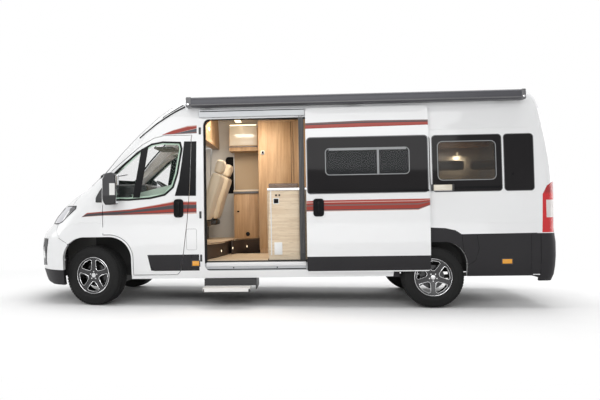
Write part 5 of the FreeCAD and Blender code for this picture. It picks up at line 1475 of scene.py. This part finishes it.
settle(joined("kitchen_knobs", *knobs), gloss_black)
spot_lamp = bevel(disc("overcab_lamp", 0.030, 0.016, on_body(1.322, -0.304, 2.163), 24, LENGTHWAYS), 0.004)
settle(spot_lamp, white_plastic)
front_board("sideboard_door", (1.556, 0.610, 0.700), (1.885, 0.6195, 1.335), oak_upright)
front_board("sideboard_top", (1.540, 0.600, 1.373), (1.900, 0.905, 1.388), oak_level)
front_board("sideboard_edge", (1.540, 0.594, 1.340), (1.900, 0.601, 1.372), edge_grey)
front_board("sideboard_handle", (1.590, 0.600, 1.075), (1.620, 0.6105, 1.095), gloss_black)
vent = bevel(disc("sideboard_vent", 0.030, 0.008, on_body(1.738, 0.606, 0.760), 28), 0.003)
settle(vent, gloss_black)
front_board("locker_door", (1.500, 0.590, 2.030), (1.890, 0.5995, 2.312), cream_lacquer)
front_board("locker_strip", (1.490, 0.590, 2.004), (1.898, 0.610, 2.0185), edge_grey)
front_board("blind_frame", (1.520, 0.905, 1.392), (1.534, 0.925, 1.985), white_plastic)
blind = block("window_blind", (1.538, 0.913, 1.400), (1.895, 0.914, 1.960))
take(blind)
bpy.ops.object.mode_set(mode="EDIT")
bpy.ops.mesh.select_mode(type="FACE")
cage = bmesh.from_edit_mesh(blind.data)
for face in cage.faces:
    face.select = face.normal.y > -0.5
bpy.ops.mesh.delete(type="FACE")
bpy.ops.mesh.select_all(action="SELECT")
bpy.ops.mesh.subdivide(number_cuts=12)
let_go()
settle(blind, beige_cloth)
front_board("bed_wall", (4.020, 0.917, 1.400), (5.100, 0.925, 1.985), cream_lacquer)
front_board("blind_bar", (1.536, 0.906, 1.388), (1.896, 0.918, 1.402), white_plastic)
STAGE_LINE = [(1.572, 0.04), (1.620, 0.17), (1.700, 0.29), (1.800, 0.37), (1.925, 0.42)]
STEP_LINE = [(1.346, -0.90), (1.408, -0.75), (1.484, -0.58), (1.537, -0.28)]
stage_outline = [on_body(x, y, 0.603) for x, y in STAGE_LINE + [(1.925, 0.608), (1.55, 0.608), (1.55, 0.04)]]
stage_front = plate("stage_front", stage_outline, 0.192)
settle(bevel(stage_front, 0.003), stage_oak)
riser_line = [on_body(x, y, 0.704) for x, y in STEP_LINE + STAGE_LINE]
settle(rod("riser_edge", riser_line, 0.009, sides=2), polished)
print("furniture dressed", len(made))

# %% [markdown]
# Cushions are stuffed skins. Each starts as a box a little smaller than the room it has, gets an even
# mesh, and is blown up by cloth pressure with gravity off. How far a point may move is capped, one
# subdivision smooths the result, and the seams are piped on at the end, where the skin really is.

# %% Padding
SEAT_LEAN = math.radians(18)
SEAT_HINGE = (1.200, -0.480, 1.000)
CLOTH_STEPS = 20


def stuffed(piece, voxel, cap, pressure=4.0):
    """Blown up by cloth pressure, held to a cap, and smoothed."""
    take(piece)
    bpy.ops.object.transform_apply(location=True, rotation=True, scale=True)
    bevel(piece, 0.028, 3)
    modify(piece, "REMESH", mode="VOXEL", voxel_size=voxel)
    rest = [vertex.co.copy() for vertex in piece.data.vertices]
    cloth = piece.modifiers.new("cloth", "CLOTH")
    cloth.settings.use_pressure = True
    cloth.settings.uniform_pressure_force = pressure
    cloth.settings.effector_weights.gravity = 0.0
    for step in range(1, CLOTH_STEPS + 1):
        scene.frame_set(step)
    take(piece)
    bpy.ops.object.modifier_apply(modifier="cloth")
    scene.frame_set(1)
    for vertex, start in zip(piece.data.vertices, rest):
        move = vertex.co - start
        if move.length > cap:
            vertex.co = start + move * (cap / move.length)
    return modify(piece, "SUBSURF", levels=1, render_levels=1)


def padding(piece, finish):
    """A stuffed piece, settled with its finish."""
    settle(piece, finish, "root", 80)


def piping(cushion, line, radius=0.0035, parts=14):
    """A cord of piping on the cushion, along a line that is pressed onto its skin."""
    tree = BVHTree.FromPolygons([vertex.co for vertex in cushion.data.vertices],
                                [face.vertices for face in cushion.data.polygons])
    points = []
    for start, end in zip(line, line[1:]):
        points += [tree.find_nearest(start.lerp(end, part / parts))[0] for part in range(parts)]
    points.append(tree.find_nearest(line[-1])[0])
    return rod("seam", points, radius, sides=2)


def on_seat(x, y, z):
    """A place on the left seat's leaning back: metres behind, across and up along it."""
    hinge_x, hinge_y, hinge_z = SEAT_HINGE
    return on_body(hinge_x + x * math.cos(SEAT_LEAN) + z * math.sin(SEAT_LEAN), hinge_y + y,
                   hinge_z - x * math.sin(SEAT_LEAN) + z * math.cos(SEAT_LEAN))


def leaning(name, low, high):
    """A box between two corners in the leaning back's own axes."""
    middle, size = middle_and_size(low, high)
    return brick(name, on_seat(*middle), size, (0, SEAT_LEAN - RAKE, 0))


seat_cushion = stuffed(block("seat_cushion_left", (0.715, -0.715, 0.995), (1.205, -0.245, 1.105)), 0.012, 0.012)
seat_back = stuffed(leaning("seat_back_left", (0.014, -0.238, 0.010), (0.128, 0.238, 0.632)), 0.012, 0.012)
head_rest = stuffed(leaning("head_rest_left", (0.012, -0.142, 0.630), (0.110, 0.142, 0.802)), 0.010, 0.010)
seams = [piping(seat_cushion, [on_body(0.70, y, 1.03), on_body(0.73, y, 1.13), on_body(1.18, y, 1.13)])
         for y in (-0.62, -0.34)]
BACK_SEAMS = [[(-0.03, y, 0.03), (-0.03, y, 0.60)] for y in (-0.14, 0.14)]
BACK_SEAMS += [[(-0.03, -0.14, z), (-0.03, 0.14, z)] for z in (0.20, 0.40)]
BACK_SEAMS += [[(0.16, -0.23, 0.05), (0.16, -0.23, 0.60), (0.16, 0.23, 0.60), (0.16, 0.23, 0.05)]]
seams += [piping(seat_back, [on_seat(*place) for place in line]) for line in BACK_SEAMS]
seat_seams = joined("seat_seams_left", *seams)
posts = [rod("post", [on_seat(0.06, y, 0.55), on_seat(0.06, y, 0.68)], 0.006, sides=2) for y in (-0.06, 0.06)]
head_posts = joined("head_posts_left", *posts)
seat_frame = joined("seat_frame_left",
                    board("recliner", (1.150, -0.742, 0.960), (1.290, -0.722, 1.150), 0.009, 3),
                    board("recliner", (1.150, -0.240, 0.960), (1.290, -0.220, 1.150), 0.009, 3),
                    board("shroud", (0.780, -0.690, 0.905), (1.330, -0.270, 0.975), 0.02, 3),
                    board("foot_shell", (0.745, -0.640, 0.703), (1.175, -0.320, 0.905), 0.02, 3))
left_parts = [seat_cushion, seat_back, head_rest]
for part in left_parts + [other_side(part, part.name.replace("left", "right")) for part in left_parts]:
    padding(part, cream_leather)
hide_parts("cab_seats")
both_sides(seat_seams, cream_piping, "seat_cover")
both_sides(head_posts, polished, "bare_aluminium")
both_sides(seat_frame, dark_trim, "dark_trim")
print("seats made", len(made))

# %% [markdown]
# The bed across the rear has a mattress in two halves and two loose cushions against the wall.

# %% Bed
bed_low, bed_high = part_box("mattress")
middle_x = (bed_low.x + bed_high.x) / 2
z_low, z_high = bed_low.z + 0.018, bed_high.z - 0.030
for name, x_low, x_high in (("mattress_front", bed_low.x + 0.02, middle_x - 0.012),
                            ("mattress_rear", middle_x + 0.012, bed_high.x - 0.02)):
    half = brick(name, ((x_low + x_high) / 2, 0, (z_low + z_high) / 2),
                 (x_high - x_low, bed_high.y - bed_low.y - 0.04, z_high - z_low), LEVEL_ON_BODY)
    half = stuffed(half, 0.024, 0.012)
    padding(half, beige_cloth)
    if name == "mattress_front":
        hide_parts("mattress")
for name, x in (("bed_cushion_front", 4.30), ("bed_cushion_rear", 4.72)):
    piece = stuffed(block(name, (x - 0.17, -0.78, 1.555), (x + 0.17, -0.66, 1.665)), 0.014, 0.014)
    padding(piece, cream_leather)
print("bed made", len(made))
